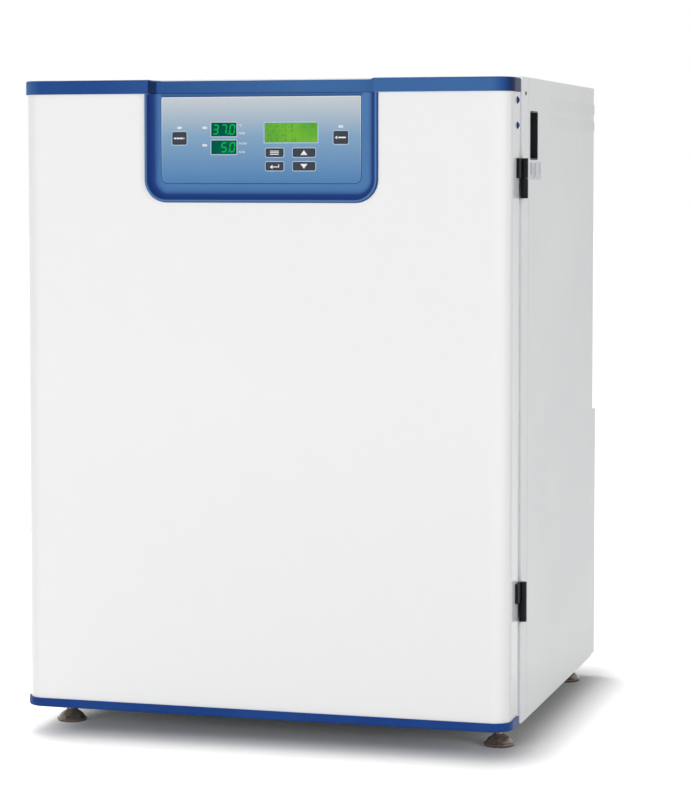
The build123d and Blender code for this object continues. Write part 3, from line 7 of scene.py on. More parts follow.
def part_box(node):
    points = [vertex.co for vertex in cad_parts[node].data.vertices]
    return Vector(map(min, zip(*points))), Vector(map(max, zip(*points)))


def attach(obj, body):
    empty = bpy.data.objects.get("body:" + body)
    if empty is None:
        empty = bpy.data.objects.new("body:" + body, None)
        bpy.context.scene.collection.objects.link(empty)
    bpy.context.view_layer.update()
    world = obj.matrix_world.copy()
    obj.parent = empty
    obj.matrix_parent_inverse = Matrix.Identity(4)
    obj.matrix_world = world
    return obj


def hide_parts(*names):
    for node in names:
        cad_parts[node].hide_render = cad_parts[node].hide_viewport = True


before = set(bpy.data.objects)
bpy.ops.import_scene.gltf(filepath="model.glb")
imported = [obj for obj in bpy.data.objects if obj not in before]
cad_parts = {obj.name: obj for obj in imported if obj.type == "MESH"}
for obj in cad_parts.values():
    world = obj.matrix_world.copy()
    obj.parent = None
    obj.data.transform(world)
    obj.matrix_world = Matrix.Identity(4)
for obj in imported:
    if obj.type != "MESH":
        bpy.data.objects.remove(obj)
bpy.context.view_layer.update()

# Camera, floor and light. The camera stands in front and to the right of the instrument, a little
# above its middle, with a long lens, and is shifted down. The floor is plain and almost white away
# from the instrument; round it the floor's lift to white is held back, as a painted shadow.
view = bpy.data.cameras.new("view")
view.lens = 117.06
view.sensor_width = 36
view.shift_y = -0.1198


def placed(name, data):
    """Puts data into the scene as an object."""
    thing = bpy.data.objects.new(name, data)
    bpy.context.scene.collection.objects.link(thing)
    return thing


camera = placed("camera", view)
camera.location = (1.0245, -3.5289, 0.7412)
camera.rotation_euler = (math.radians(87.1), 0, math.radians(15.73))
bpy.context.scene.camera = camera
bpy.context.scene.view_settings.view_transform = "Standard"


def add_node(tree, kind, links=(), **values):
    """Adds a node, sets its properties and inputs, and joins outputs or gives values to its inputs."""
    made = tree.nodes.new(kind)
    for name, value in values.items():
        if hasattr(made, name):
            setattr(made, name, value)
        else:
            made.inputs[name.replace("_", " ")].default_value = value
    for socket, source in links:
        if isinstance(source, bpy.types.NodeSocket):
            tree.links.new(source, made.inputs[socket])
        else:
            made.inputs[socket].default_value = source
    return made


def ranged(tree, value, **ends):
    """Maps a value from one range to another."""
    return add_node(tree, "ShaderNodeMapRange", [("Value", value)], **ends).outputs["Result"]


def reckon(tree, operation, *values):
    """Reckons with values or outputs in a math node."""
    return add_node(tree, "ShaderNodeMath", enumerate(values), operation=operation).outputs[0]


def seen_directly(tree):
    """1 where a ray comes from the camera, a reflection or through glass, otherwise 0."""
    path = add_node(tree, "ShaderNodeLightPath")
    seen = path.outputs["Is Camera Ray"]
    for kind in ("Is Glossy Ray", "Is Transmission Ray"):
        seen = reckon(tree, "MAXIMUM", seen, path.outputs[kind])
    return seen


sky = bpy.data.worlds.new("sky")
sky.use_nodes = True
bpy.context.scene.world = sky
room = sky.node_tree.nodes["Background"]
room.inputs["Color"].default_value = (1, 1, 1, 1)
lit = ranged(sky.node_tree, seen_directly(sky.node_tree), To_Min=0.32)
sky.node_tree.links.new(lit, room.inputs["Strength"])

floor_finish = bpy.data.materials.new("floor_paint")
floor_finish.use_nodes = True
tree = floor_finish.node_tree
tree.nodes.remove(tree.nodes["Principled BSDF"])
matt = add_node(tree, "ShaderNodeBsdfDiffuse", Color=(0.74, 0.74, 0.74, 1))
# Painted shadow: a box round the instrument where the floor is not lifted to white, so it stays grey there,
# in and out of the lamps' shadow.
shadow_middle, shadow_half_size, shadow_narrowing = (0.02, 0.02, 0), (0.28, 0.24, 0), (1.7, 1, 1)
shadow_reach, open_floor_light = 0.24, 0.95
away = add_node(tree, "ShaderNodeTexCoord").outputs["Object"]
for operation, *value in (
    ("SUBTRACT", shadow_middle),
    ("ABSOLUTE",),
    ("SUBTRACT", shadow_half_size),
    ("MAXIMUM", (0, 0, 0)),
    ("MULTIPLY", shadow_narrowing),
):
    away = add_node(tree, "ShaderNodeVectorMath", enumerate([away, *value]), operation=operation).outputs[0]
distance = add_node(tree, "ShaderNodeVectorMath", [(0, away)], operation="LENGTH")
ends = {"interpolation_type": "SMOOTHSTEP", "From_Max": shadow_reach, "To_Max": open_floor_light}
painted_shadow_fade = ranged(tree, distance.outputs["Value"], **ends)
lift = reckon(tree, "MULTIPLY", seen_directly(tree), painted_shadow_fade)
glow = add_node(tree, "ShaderNodeEmission", [("Strength", lift)])
both = add_node(tree, "ShaderNodeAddShader", [(0, matt.outputs[0]), (1, glow.outputs[0])])
tree.links.new(both.outputs[0], tree.nodes["Material Output"].inputs["Surface"])
floor_mesh = bpy.data.meshes.new("floor")
floor_reach = 30
floor_corners = [(x * floor_reach, y * floor_reach, 0) for x, y in ((-1, -1), (1, -1), (1, 1), (-1, 1))]
floor_mesh.from_pydata(floor_corners, [], [(0, 1, 2, 3)])
floor_mesh.materials.append(floor_finish)
floor = placed("floor", floor_mesh)


def add_lamp(name, place, target, size, power, mirrored=True):
    """A soft square lamp at a place, turned towards a target, which glossy faces may mirror or not."""
    lamp = bpy.data.lights.new(name, "AREA")
    lamp.shape = "SQUARE"
    lamp.size = size
    lamp.energy = power
    lamp_object = placed(name, lamp)
    aim = Vector(target) - Vector(place)
    lamp_object.matrix_world = Matrix.Translation(place) @ aim.to_track_quat("-Z", "Y").to_matrix().to_4x4()
    lamp_object.visible_glossy = mirrored


add_lamp("main_lamp", (-3.0, -6.0, 1.3), (0, -0.2, 0.45), 2.4, 184, mirrored=False)
add_lamp("side_lamp", (3.9, -2.1, 1.1), (0.3, -0.1, 0.45), 2.0, 69, mirrored=False)
add_lamp("top_lamp", (-1.1, 1.0, 3.1), (0, 0.1, 0.4), 1.5, 46)

# Casing: folded steel sheets with a satin powder coat, light grey. The front frame wraps round the
# cabinet, and the side, top and rear sheets stand behind it and are screwed to it. The coat has a
# fine orange-peel relief. The frame's front face, against which the door seals, is coloured white:
# painted light in the narrow gap that the door shades.


def srgb(red, green, blue):
    """A colour as it looks on a screen, 0 to 255, turned into the shader's linear values."""
    parts = [v / 255 for v in (red, green, blue)]
    return tuple(p / 12.92 if p <= 0.04045 else ((p + 0.055) / 1.055) ** 2.4 for p in parts) + (1.0,)


def new_finish(name, colour, roughness, **values):
    """Starts a finish: one Principled surface whose even values stand on its own sockets."""
    finish = bpy.data.materials.new(name)
    finish.use_nodes = True
    surface = finish.node_tree.nodes["Principled BSDF"]
    values = {"Base_Color": colour, "Roughness": roughness, "Coat_Roughness": 0.12, **values}
    for label, value in values.items():
        surface.inputs[label.replace("_", " ")].default_value = value
    finish.diffuse_color = colour
    return finish


def join(tree, output, label):
    """Joins an output to an input of the finish's surface."""
    tree.links.new(output, tree.nodes["Principled BSDF"].inputs[label])


def noise_over(tree, size, stretch, detail, roughness=0.5):
    """Noise of a given size over a surface, pulled out along an axis by its stretch."""
    place = add_node(tree, "ShaderNodeTexCoord")
    pulled = add_node(tree, "ShaderNodeMapping", [("Vector", place.outputs["Object"])], Scale=stretch)
    values = {"Scale": 1 / size, "Detail": detail, "Roughness": roughness}
    return add_node(tree, "ShaderNodeTexNoise", [("Vector", pulled.outputs[0])], **values).outputs["Fac"]


def grain(finish, size, height, stretch=(1, 1, 1), detail=2.0):
    """Fine relief of a surface."""
    tree = finish.node_tree
    noise = noise_over(tree, size, stretch, detail, roughness=0.6)
    relief = add_node(tree, "ShaderNodeBump", [("Height", noise)], Strength=1.0, Distance=height)
    join(tree, relief.outputs[0], "Normal")


def passing(tree, value, *stops):
    """Colour that a value passes through: pairs of the value, from 0 to 1, and the colour there."""
    ramp = add_node(tree, "ShaderNodeValToRGB", [("Fac", value)])
    steps = ramp.color_ramp.elements
    steps.remove(steps[1])
    steps[0].position, steps[0].color = stops[0]
    for position, colour in stops[1:]:
        steps.new(position).color = colour
    return ramp.outputs["Color"]


def colour_by(finish, value, *stops):
    """Gives a finish the colours that a value passes through."""
    join(finish.node_tree, passing(finish.node_tree, value, *stops), "Base Color")


def shade(finish, colour_a, colour_b, size, stretch=(1, 1, 1), low=0.35, high=0.65):
    """Slow change over a surface between two near colours, each as it looks on a screen."""
    noise = noise_over(finish.node_tree, size, stretch, 3.0)
    colour_by(finish, noise, (low, srgb(*colour_a)), (high, srgb(*colour_b)))


def gloss(finish, size, low, high, stretch=(1, 1, 1)):
    """Uneven gloss: roughness that wanders between two values."""
    tree = finish.node_tree
    noise = noise_over(tree, size, stretch, 4.0)
    join(tree, ranged(tree, noise, To_Min=low, To_Max=high), "Roughness")


def dress(finish, *names):
    """Puts a finish on CAD nodes."""
    for name in names:
        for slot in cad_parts[name].material_slots:
            slot.material = finish


casing_coat = new_finish("casing_powder_coat", srgb(222, 224, 224), 0.42)
grain(casing_coat, 0.0011, 0.00002)
shade(casing_coat, (220, 222, 223), (225, 226, 226), 0.25)
gloss(casing_coat, 0.04, 0.38, 0.48)
dress(casing_coat, "left_side_panel", "right_side_panel", "top_panel", "rear_panel", "rear_lower_cover")


def part_of(tree, output, axis):
    """One axis of a surface's place (Object) or of the way it faces (Normal)."""
    place = add_node(tree, "ShaderNodeTexCoord")
    return add_node(tree, "ShaderNodeSeparateXYZ", [(0, place.outputs[output])]).outputs[axis]


def painted_light_by_facing(finish, axis, *stops):
    """Painted light and shade: colour that follows the way a surface faces, from pairs of the normal's part
    on the axis and a colour.
    """
    tree = finish.node_tree
    turned_to = ranged(tree, part_of(tree, "Normal", axis), From_Min=-1.0)
    colour_by(finish, turned_to, *[((part + 1) / 2, colour) for part, colour in stops])


frame_coat = new_finish("frame_coat", srgb(222, 224, 225), 0.42)
grain(frame_coat, 0.0011, 0.00002)
# Painted light: faces turned to the front are coloured whiter than the coat.
painted_light_by_facing(frame_coat, "Y", (-0.9, srgb(246, 248, 251)), (-0.6, srgb(222, 224, 225)))
gloss(frame_coat, 0.04, 0.38, 0.48)
dress(frame_coat, "front_frame")

# Casing screws: pan heads in a black plating with a cross recess, four down each edge of the back and
# one on each side of the front frame.


def new_shape():
    """An empty list of points and faces, to which outlines are added."""
    return {"points": [], "faces": []}


def add_face(shape, points):
    """Adds one flat face."""
    first = len(shape["points"])
    shape["points"] += points
    shape["faces"].append(list(range(first, first + len(points))))


def add_ring(shape, outer, inner):
    """Adds the band of faces between two loops with the same number of points."""
    count = len(outer)
    first = len(shape["points"])
    shape["points"] += outer + inner
    for i in range(count):
        j = (i + 1) % count
        shape["faces"].append([first + i, first + j, first + count + j, first + count + i])


def turned(shape, profile, centre, steps, low=0):
    """Adds a form turned about an upright axis, from a profile of (radius, height) points."""
    for (radius_a, height_a), (radius_b, height_b) in zip(profile, profile[1:]):
        for step in range(steps):
            first, second = (2 * math.pi * (step + turn) / steps for turn in (0, 1))
            corners = [
                (centre[0] + radius * math.cos(angle), centre[1] + radius * math.sin(angle), low + height)
                for radius, height, angle in (
                    (radius_a, height_a, first),
                    (radius_a, height_a, second),
                    (radius_b, height_b, second),
                    (radius_b, height_b, first),
                )
            ]
            if radius_a == 0:
                corners.pop(1)
            if radius_b == 0:
                corners.pop()
            add_face(shape, corners)


def turn_outwards(mesh, weld=False):
    """Turns the faces of a mesh outwards, after welding points that meet."""
    work = bmesh.new()
    work.from_mesh(mesh)
    if weld:
        bmesh.ops.remove_doubles(work, verts=work.verts, dist=0.000001)
    bmesh.ops.recalc_face_normals(work, faces=work.faces)
    work.to_mesh(mesh)
    work.free()


def welded(name, shape):
    """Makes a welded mesh of a shape."""
    mesh = bpy.data.meshes.new(name)
    mesh.from_pydata(shape["points"], [], shape["faces"])
    turn_outwards(mesh, weld=True)
    return mesh


def riding(name, mesh, body):
    """Makes a mesh a piece that rides on a body."""
    piece = placed(name, mesh)
    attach(piece, body)
    return piece


def rule_tree(name, sizes):
    """Starts a Geometry Nodes tree whose inputs are the geometry and named sizes."""
    tree = bpy.data.node_groups.new(name, "GeometryNodeTree")
    tree.interface.new_socket("Geometry", in_out="INPUT", socket_type="NodeSocketGeometry")
    for label, kind in sizes.items():
        tree.interface.new_socket(label, in_out="INPUT", socket_type=kind)
    tree.interface.new_socket("Geometry", in_out="OUTPUT", socket_type="NodeSocketGeometry")
    return tree, tree.nodes.new("NodeGroupInput")


def end_rule(tree, geometry, finish):
    """Ends a tree in Realize Instances and Set Material."""
    real = add_node(tree, "GeometryNodeRealizeInstances", [("Geometry", geometry)])
    paint = add_node(tree, "GeometryNodeSetMaterial", [("Geometry", real.outputs[0])], Material=finish)
    add_node(tree, "NodeGroupOutput", [(0, paint.outputs[0])])


def copies(tree, sizes_in, instance, *more):
    """Puts a copy of a form on each point of the rule's geometry."""
    links = [("Points", sizes_in.outputs["Geometry"]), ("Instance", instance), *more]
    return add_node(tree, "GeometryNodeInstanceOnPoints", links).outputs[0]


def made_by_rule(name, tree, sizes, body, points, edges=(), facings=()):
    """Runs a tree on points or edges and keeps the result as a plain mesh that rides on a body."""
    start = bpy.data.meshes.new(name + "_start")
    start.from_pydata(points, edges, [])
    if facings:
        attribute = start.attributes.new("facing", "FLOAT_VECTOR", "POINT")
        for entry, facing in zip(attribute.data, facings):
            entry.vector = facing
    source = placed(name + "_start", start)
    modifier = source.modifiers.new("rule", "NODES")
    modifier.node_group = tree
    for socket in tree.interface.items_tree:
        if socket.in_out == "INPUT" and socket.name in sizes:
            modifier[socket.identifier] = sizes[socket.name]
    graph = bpy.context.evaluated_depsgraph_get()
    mesh = bpy.data.meshes.new_from_object(source.evaluated_get(graph), depsgraph=graph)
    bpy.data.objects.remove(source)
    turn_outwards(mesh)
    mesh.name = name
    return riding(name, mesh, body)


black_plate = new_finish("black_plate", srgb(34, 35, 39), 0.34, Metallic=0.4)
shade(black_plate, (28, 29, 33), (40, 41, 45), 0.002)
gloss(black_plate, 0.0008, 0.26, 0.42)
head_radius, head_height, head_steps = 0.0026, 0.0012, 24
head = new_shape()
head_profile = (
    (head_radius, 0.0),
    (head_radius, 0.0003),
    (0.0024, 0.0007),
    (0.0019, 0.0010),
    (0.0011, head_height),
    (0.0, 0.00122),
)
turned(head, head_profile, (0, 0), head_steps)
rim = [2 * math.pi * step / head_steps for step in range(head_steps)]
add_face(head, [(head_radius * math.cos(angle), head_radius * math.sin(angle), 0.0) for angle in rim])
cross = []
arm, reach = 0.0003, 0.00135
for x, y in ((1, 1), (1, -1), (-1, -1), (-1, 1)):
    corner = [(x * arm, y * reach), (x * arm, y * arm), (x * reach, y * arm)]
    cross += corner if x == y else reversed(corner)
recess_top, recess_floor, recess_taper = 0.002, 0.0004, 0.6
upper = [(x, y, recess_top) for x, y in cross]
lower = [(recess_taper * x, recess_taper * y, recess_floor) for x, y in cross]
recess = new_shape()
add_ring(recess, upper, lower)
add_face(recess, upper)
add_face(recess, lower)
head_object = placed("screw_head", welded("screw_head", head))
recess_object = placed("screw_recess", welded("screw_recess", recess))
cut = head_object.modifiers.new("recess", "BOOLEAN")
cut.object = recess_object
cut.operation = "DIFFERENCE"
cut.solver = "EXACT"
screw_low, screw_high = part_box("cabinet_screws")
edge_inset, row_pitch = 0.006, 0.2373333
side_screw_x = screw_high[0] - head_height
rear_screw_x = side_screw_x - edge_inset
rear_screw_y = screw_high[1] - head_height
screw_places = [
    (side * rear_screw_x, rear_screw_y, screw_low[2] + head_radius + row * row_pitch)
    for side in (-1, 1)
    for row in range(4)
]
screw_facings = [(0, 1, 0)] * len(screw_places)
for side in (-1, 1):
    screw_places.append((side * side_screw_x, screw_low[1] + head_radius, screw_high[2] - head_radius))
    screw_facings.append((side, 0, 0))
tree, sizes_in = rule_tree("screw_rule", {"Head": "NodeSocketObject", "Size": "NodeSocketFloat"})
head_in = add_node(tree, "GeometryNodeObjectInfo", [("Object", sizes_in.outputs["Head"])])
facing = add_node(tree, "GeometryNodeInputNamedAttribute", data_type="FLOAT_VECTOR", Name="facing")
turn = add_node(tree, "FunctionNodeAlignRotationToVector", [("Vector", facing.outputs[0])], axis="Z")
set_up = ("Rotation", turn.outputs[0]), ("Scale", sizes_in.outputs["Size"])
end_rule(tree, copies(tree, sizes_in, head_in.outputs["Geometry"], *set_up), black_plate)
sizes = {"Head": head_object, "Size": 1.0}
screws = made_by_rule(
    "casing_screws", tree, sizes, "cabinet", screw_places, facings=screw_facings
)
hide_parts("cabinet_screws")
for scratch in (head_object, recess_object):
    bpy.data.objects.remove(scratch)

# Chassis: the base pan and the electronics tray, folded from zinc-coated sheet that shows the spangle
# of the zinc. The sheets of the casing are screwed to the pan.
chassis_zinc = new_finish("chassis_zinc", srgb(176, 179, 181), 0.4, Metallic=0.85)
shade(chassis_zinc, (158, 162, 165), (192, 195, 197), 0.012)
gloss(chassis_zinc, 0.015, 0.32, 0.5)
dress(chassis_zinc, "base_pan", "electronics_tray")

# Outer door: white enamelled sheet, bent round both upright edges, smoother and whiter than the
# casing. Caps close its ends, and the inner panel closes its back.
door_enamel = new_finish("door_enamel", srgb(243, 243, 243), 0.3, Coat_Weight=0.25)
grain(door_enamel, 0.0016, 0.000012)
# Painted shade: the turned edges are coloured greyer than the front, as the sides stand in less light.
painted_edge_shade, flat_front = srgb(211, 212, 213), srgb(243, 243, 243)
stops = (-0.995, painted_edge_shade), (-0.9, flat_front), (0.9, flat_front), (0.995, painted_edge_shade)
painted_light_by_facing(door_enamel, "X", *stops)
gloss(door_enamel, 0.06, 0.27, 0.34)
dress(door_enamel, "door_skin")

# Door caps: blue plastic mouldings with a fine satin texture from the tool, pushed on to the ends of
# the door skin.
blue_moulding = new_finish("blue_moulding", srgb(42, 84, 148), 0.36, Specular_IOR_Level=0.06)
grain(blue_moulding, 0.0007, 0.00003)
tree = blue_moulding.node_tree
# Painted light: the caps are coloured lighter from the left of the console to the right, darker on faces
# turned to the right and lighter on faces turned to the left, as if lit from the left.
ends = {"From_Min": -0.22, "From_Max": 0.05, "To_Min": 0.35, "To_Max": 0.8}
across = ranged(tree, part_of(tree, "Object", "X"), **ends)
painted_side_light = -0.8
painted_light_share = reckon(tree, "MULTIPLY_ADD", part_of(tree, "Normal", "X"), painted_side_light, across)
colour_by(
    blue_moulding,
    painted_light_share,
    (0.0, srgb(20, 34, 68)),
    (0.35, srgb(39, 77, 140)),
    (0.8, srgb(64, 106, 161)),
    (1.0, srgb(62, 104, 160)),
)
gloss(blue_moulding, 0.02, 0.32, 0.42)
dress(blue_moulding, "door_top_cap", "door_side_caps")
# Painted shade: the bottom cap takes a darker copy of the same plastic, as it stands low and in less light.
blue_moulding_in_shade = new_finish("blue_moulding_in_shade", srgb(26, 64, 132), 0.4, Specular_IOR_Level=0.12)
grain(blue_moulding_in_shade, 0.0007, 0.00003)
shade(blue_moulding_in_shade, (23, 60, 128), (29, 68, 136), 0.09)
gloss(blue_moulding_in_shade, 0.02, 0.34, 0.44)
dress(blue_moulding_in_shade, "door_bottom_cap")

# Console bezel: the same plastic, a shade deeper, moulded as one dished part. A narrow rim lies on the
# door, and inside it a cove runs down to the edge of the membrane, open at the top.
out_of_door = (0, -1, 0)


def make_piece(name, shape, finish, body, towards=None, smooth=False):
    """Turns a shape into a piece that rides on a body, with its faces turned outwards."""
    mesh = welded(name, shape)
    if towards is not None:
        turned_away = [face for face in mesh.polygons if face.normal.dot(Vector(towards)) < 0]
        if smooth:
            turned_away = mesh.polygons[:] if len(turned_away) > len(mesh.polygons) / 2 else []
        for face in turned_away:
            face.flip()
    for face in mesh.polygons:
        face.use_smooth = smooth
    mesh.update()
    mesh.materials.append(finish)
    return riding(name, mesh, body)


bezel_blue = new_finish("bezel_blue", srgb(36, 76, 142), 0.36, Specular_IOR_Level=0.2)
grain(bezel_blue, 0.0007, 0.00003)
gloss(bezel_blue, 0.02, 0.34, 0.44)
# Painted shade and light: the cove is coloured darker where its faces turn away from the front, and lighter
# where they turn to the left, as if lit from the front and the left.
tree = bezel_blue.node_tree
painted_side_light = -0.11
facing_front = reckon(tree, "ABSOLUTE", part_of(tree, "Normal", "Y"))
painted_light_share = reckon(tree, "MULTIPLY_ADD", part_of(tree, "Normal", "X"), painted_side_light, facing_front)
colour_by(
    bezel_blue,
    painted_light_share,
    (0.80, srgb(14, 42, 104)),
    (0.93, srgb(26, 62, 128)),
    (1.0, srgb(78, 124, 176)),
)
bezel_low, bezel_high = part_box("console_bezel")
bezel_radius, least_radius = 0.030, 0.004
cove = (
    (0.0, 0.0026), (0.0, 0.0014), (0.0002, 0.0007), (0.0007, 0.0002),
    (0.0015, 0.0), (0.0030, 0.0), (0.0038, 0.0002), (0.0047, 0.0007),
    (0.0062, 0.0017), (0.0082, 0.0029), (0.0105, 0.0040), (0.0130, 0.0048),
    (0.0158, 0.0054), (0.0188, 0.0058), (0.0222, 0.0060), (0.0255, 0.0061),
)


def arc(x, z, radius, start, steps):
    """Points of a quarter circle from a start in degrees."""
    angles = [math.radians(start + 90 * step / steps) for step in range(steps + 1)]
    return [(x + radius * math.cos(angle), z + radius * math.sin(angle)) for angle in angles]


def u_loop(inset, y, steps=12):
    """Points of the bezel's U from the top left, down and round to the top right, at an inset."""
    left, right = bezel_low[0] + inset, bezel_high[0] - inset
    low, top = bezel_low[2] + inset, bezel_high[2]
    radius = max(bezel_radius - inset, least_radius)
    points = [(left, y, top)]
    for side, start in ((left + radius, 180), (right - radius, 270)):
        points += [(a, y, b) for a, b in arc(side, low + radius, radius, start, steps)]
    points.append((right, y, top))
    return points


bezel = new_shape()
rows = [u_loop(inset, bezel_low[1] + depth) for inset, depth in cove]
for outer, inner in zip(rows, rows[1:]):
    for i in range(len(outer) - 1):
        add_face(bezel, [outer[i], outer[i + 1], inner[i + 1], inner[i]])
cove_width, cove_depth = cove[-1]
strip_overlap, strip_height, strip_depth = 0.004, 0.0036, 0.0050
strip_x, strip_z = bezel_high[0] - cove_width + strip_overlap, bezel_high[2] - strip_height
strip_low_y, strip_high_y = bezel_low[1] + cove_depth, bezel_low[1] + strip_depth
strip = [(-strip_x, strip_low_y, strip_z), (strip_x, strip_low_y, strip_z)]
strip += [(strip_x, strip_high_y, bezel_high[2]), (-strip_x, strip_high_y, bezel_high[2])]
add_face(bezel, strip)
console_dish = make_piece(
    "console_dish", bezel, bezel_blue, "door", out_of_door, smooth=True
)
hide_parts("console_bezel")

# Console membrane: film whose colour runs from silver grey at the top to mid blue at the bottom, with
# a metallic flake in the ink.
membrane_low, membrane_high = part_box("console_membrane")
membrane_print = new_finish("membrane_print", srgb(150, 180, 205), 0.42)
tree = membrane_print.node_tree


def film_height(tree):
    """How far up the membrane a place is, from 0 at its bottom edge to 1 at its top edge."""
    return ranged(tree, part_of(tree, "Object", "Z"), From_Min=membrane_low[2], From_Max=membrane_high[2])


stops = (0.0, srgb(68, 121, 173)), (0.55, srgb(126, 162, 193)), (1.0, srgb(200, 206, 210))
fade = passing(tree, film_height(tree), *stops)
flake = noise_over(tree, 1 / 2600, (1, 1, 1), 1.0)
links = [(0, fade), ("Scale", ranged(tree, flake, To_Min=0.93, To_Max=1.07))]
ink = add_node(tree, "ShaderNodeVectorMath", links, operation="SCALE")
join(tree, ink.outputs[0], "Base Color")
membrane_left, membrane_right = -0.1352, 0.1336
membrane_bottom, membrane_top = membrane_low[2] + 0.0004, membrane_high[2] + 0.0008
film_y = bezel_low[1] + 0.0059


def film_loop(inset, radius_low=0.008, radius_high=0.0015, steps=6):
    """Loop of the membrane at an inset: large radii at the bottom and small ones at the top."""
    loop = []
    corners = (
        (membrane_right - inset, membrane_top - inset, radius_high, 0),
        (membrane_left + inset, membrane_top - inset, radius_high, 90),
        (membrane_left + inset, membrane_bottom + inset, radius_low, 180),
        (membrane_right - inset, membrane_bottom + inset, radius_low, 270),
    )
    for corner_x, corner_z, radius, start in corners:
        centre_x = corner_x - math.copysign(radius, corner_x)
        centre_z = corner_z - radius if start < 180 else corner_z + radius
        loop += arc(centre_x, centre_z, radius, start, steps)
    return loop


def rounded(x, z, width, height, radius, steps=5):
    """Loop of a rectangle with rounded corners, about its middle."""
    loop = []
    for corner, (side_x, side_z) in enumerate(((1, 1), (-1, 1), (-1, -1), (1, -1))):
        centre_x, centre_z = x + side_x * (width / 2 - radius), z + side_z * (height / 2 - radius)
        loop += arc(centre_x, centre_z, radius, 90 * corner, steps)
    return loop


key_names = ("left_key", "right_key", "menu_key", "enter_key", "up_key", "down_key")
key_flange, hole_gap = 0.0012, 0.0003
window_height, window_radius = 0.0176, 0.0004
led_low, led_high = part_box("led_displays")
lcd_low, lcd_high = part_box("lcd_display")


def box_loop(low_x, high_x, low_z, high_z, radius):
    """Loop of a rounded rectangle between its sides."""
    return rounded((low_x + high_x) / 2, (low_z + high_z) / 2, high_x - low_x, high_z - low_z, radius)


windows = [
    (led_low[0], led_high[0], led_low[2], led_low[2] + window_height),
    (led_low[0], led_high[0], led_high[2] - window_height, led_high[2]),
    (lcd_low[0], lcd_high[0], lcd_low[2], lcd_high[2]),
]
loops = [film_loop(0)]
for name in key_names:
    low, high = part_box(name)
    edge = key_flange - hole_gap
    loops.append(box_loop(low[0] + edge, high[0] - edge, low[2] + edge, high[2] - edge, 0.0017))
loops += [box_loop(*window, window_radius) for window in windows]
lamp_spots = ((-0.1105, -0.0623), (0.1068, -0.0617), (-0.076, -0.0624), (-0.076, -0.085))
door_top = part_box("door_top_cap")[1][2]
for x, drop in lamp_spots:
    loops.append(rounded(x, door_top + drop, 0.0066, 0.0032, 0.0010, steps=3))
drawing = bpy.data.curves.new("console_film", "CURVE")
drawing.dimensions = "2D"
drawing.fill_mode = "BOTH"
for loop in loops:
    spline = drawing.splines.new("POLY")
    spline.points.add(len(loop) - 1)
    for point, (a, b) in zip(spline.points, loop):
        point.co = (a, b, 0, 1)
    spline.use_cyclic_u = True
sheet = bpy.data.objects.new("console_film", drawing)
flat = bpy.data.meshes.new_from_object(sheet)
bpy.data.objects.remove(sheet)
film = new_shape()
film["points"] = [(v.co.x, film_y, v.co.y) for v in flat.vertices]
film["faces"] = [list(face.vertices) for face in flat.polygons]
console_film = make_piece("console_film", film, membrane_print, "door", out_of_door)
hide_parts("console_membrane")

# Prints on the membrane: a pale line round every key and every display window, in opaque ink on the
# face of the film.
ink_pale = new_finish("ink_pale", srgb(190, 207, 226), 0.5)
shade(ink_pale, (185, 202, 222), (196, 212, 230), 0.003)
ink_lift = 0.00005


def middle(low, high, *axes):
    """Middle of a box on some of its axes."""
    return [(low[axis] + high[axis]) / 2 for axis in axes]


def on_film(loop):
    """Points of a flat loop, a little in front of the membrane."""
    return [(a, film_y - ink_lift, b) for a, b in loop]


outlines = new_shape()
for name in key_names:
    low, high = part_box(name)
    x, z = middle(low, high, 0, 2)
    width, height = high[0] - low[0] - 2 * key_flange, high[2] - low[2] - 2 * key_flange
    outer = rounded(x, z, width + 0.0026, height + 0.0026, 0.0027)
    inner = rounded(x, z, width + 0.0007, height + 0.0007, 0.0018)
    add_ring(outlines, on_film(outer), on_film(inner))
for low_x, high_x, low_z, high_z in windows:
    outer, inner = (
        box_loop(low_x - edge, high_x + edge, low_z - edge, high_z + edge, window_radius + edge)
        for edge in (0.0012, 0.0002)
    )
    add_ring(outlines, on_film(outer), on_film(inner))
make_piece("key_outlines", outlines, ink_pale, "door", out_of_door)

# Edge of the membrane: the cut edge of the film, which is bonded to the bezel. Its catch of the light
# is a painted highlight, a pale line at the top that fades to the blue of the film at the bottom.
edge_line = new_shape()
inner = film_loop(0.0010, radius_low=0.0070, radius_high=0.0005)
add_ring(edge_line, on_film(film_loop(0.0)), on_film(inner))
painted_edge_highlight = new_finish("painted_edge_highlight", srgb(196, 208, 220), 0.45)
height = film_height(painted_edge_highlight.node_tree)
colour_by(painted_edge_highlight, height, (0.0, srgb(66, 118, 172)), (1.0, srgb(226, 230, 232)))
make_piece("membrane_edge_line", edge_line, painted_edge_highlight, "door", out_of_door)

# Recess of the membrane: the narrow step moulded in the bezel round the film. Its shade is painted, as
# a dark ring on the face of the bezel round the film.
recess = new_shape()
outer = film_loop(-0.0007, radius_low=0.0087, radius_high=0.0022)
add_ring(recess, on_film(outer), on_film(film_loop(0.0)))
painted_recess_shade = new_finish("painted_recess_shade", srgb(22, 56, 116), 0.5, Specular_IOR_Level=0.1)
grain(painted_recess_shade, 0.0007, 0.00003)
shade(painted_recess_shade, (18, 50, 108), (26, 62, 122), 0.02)
make_piece("membrane_recess_line", recess, painted_recess_shade, "door", out_of_door)

# Keys: black moulded caps with a fine texture, and white symbols printed on them. A flange behind
# the membrane holds each in its hole.
key_black = new_finish("key_black", srgb(32, 38, 50), 0.5)
grain(key_black, 0.0004, 0.00003)
shade(key_black, (28, 34, 46), (38, 44, 56), 0.01)
dress(key_black, *key_names)
ink_white = new_finish("ink_white", srgb(240, 243, 245), 0.55)
shade(ink_white, (234, 238, 241), (244, 246, 248), 0.002)


def bar(x, z, width, height):
    """Loop of an upright rectangle about its middle."""
    corners = ((-1, -1), (1, -1), (1, 1), (-1, 1))
    return [(x + side_x * width / 2, z + side_z * height / 2) for side_x, side_z in corners]


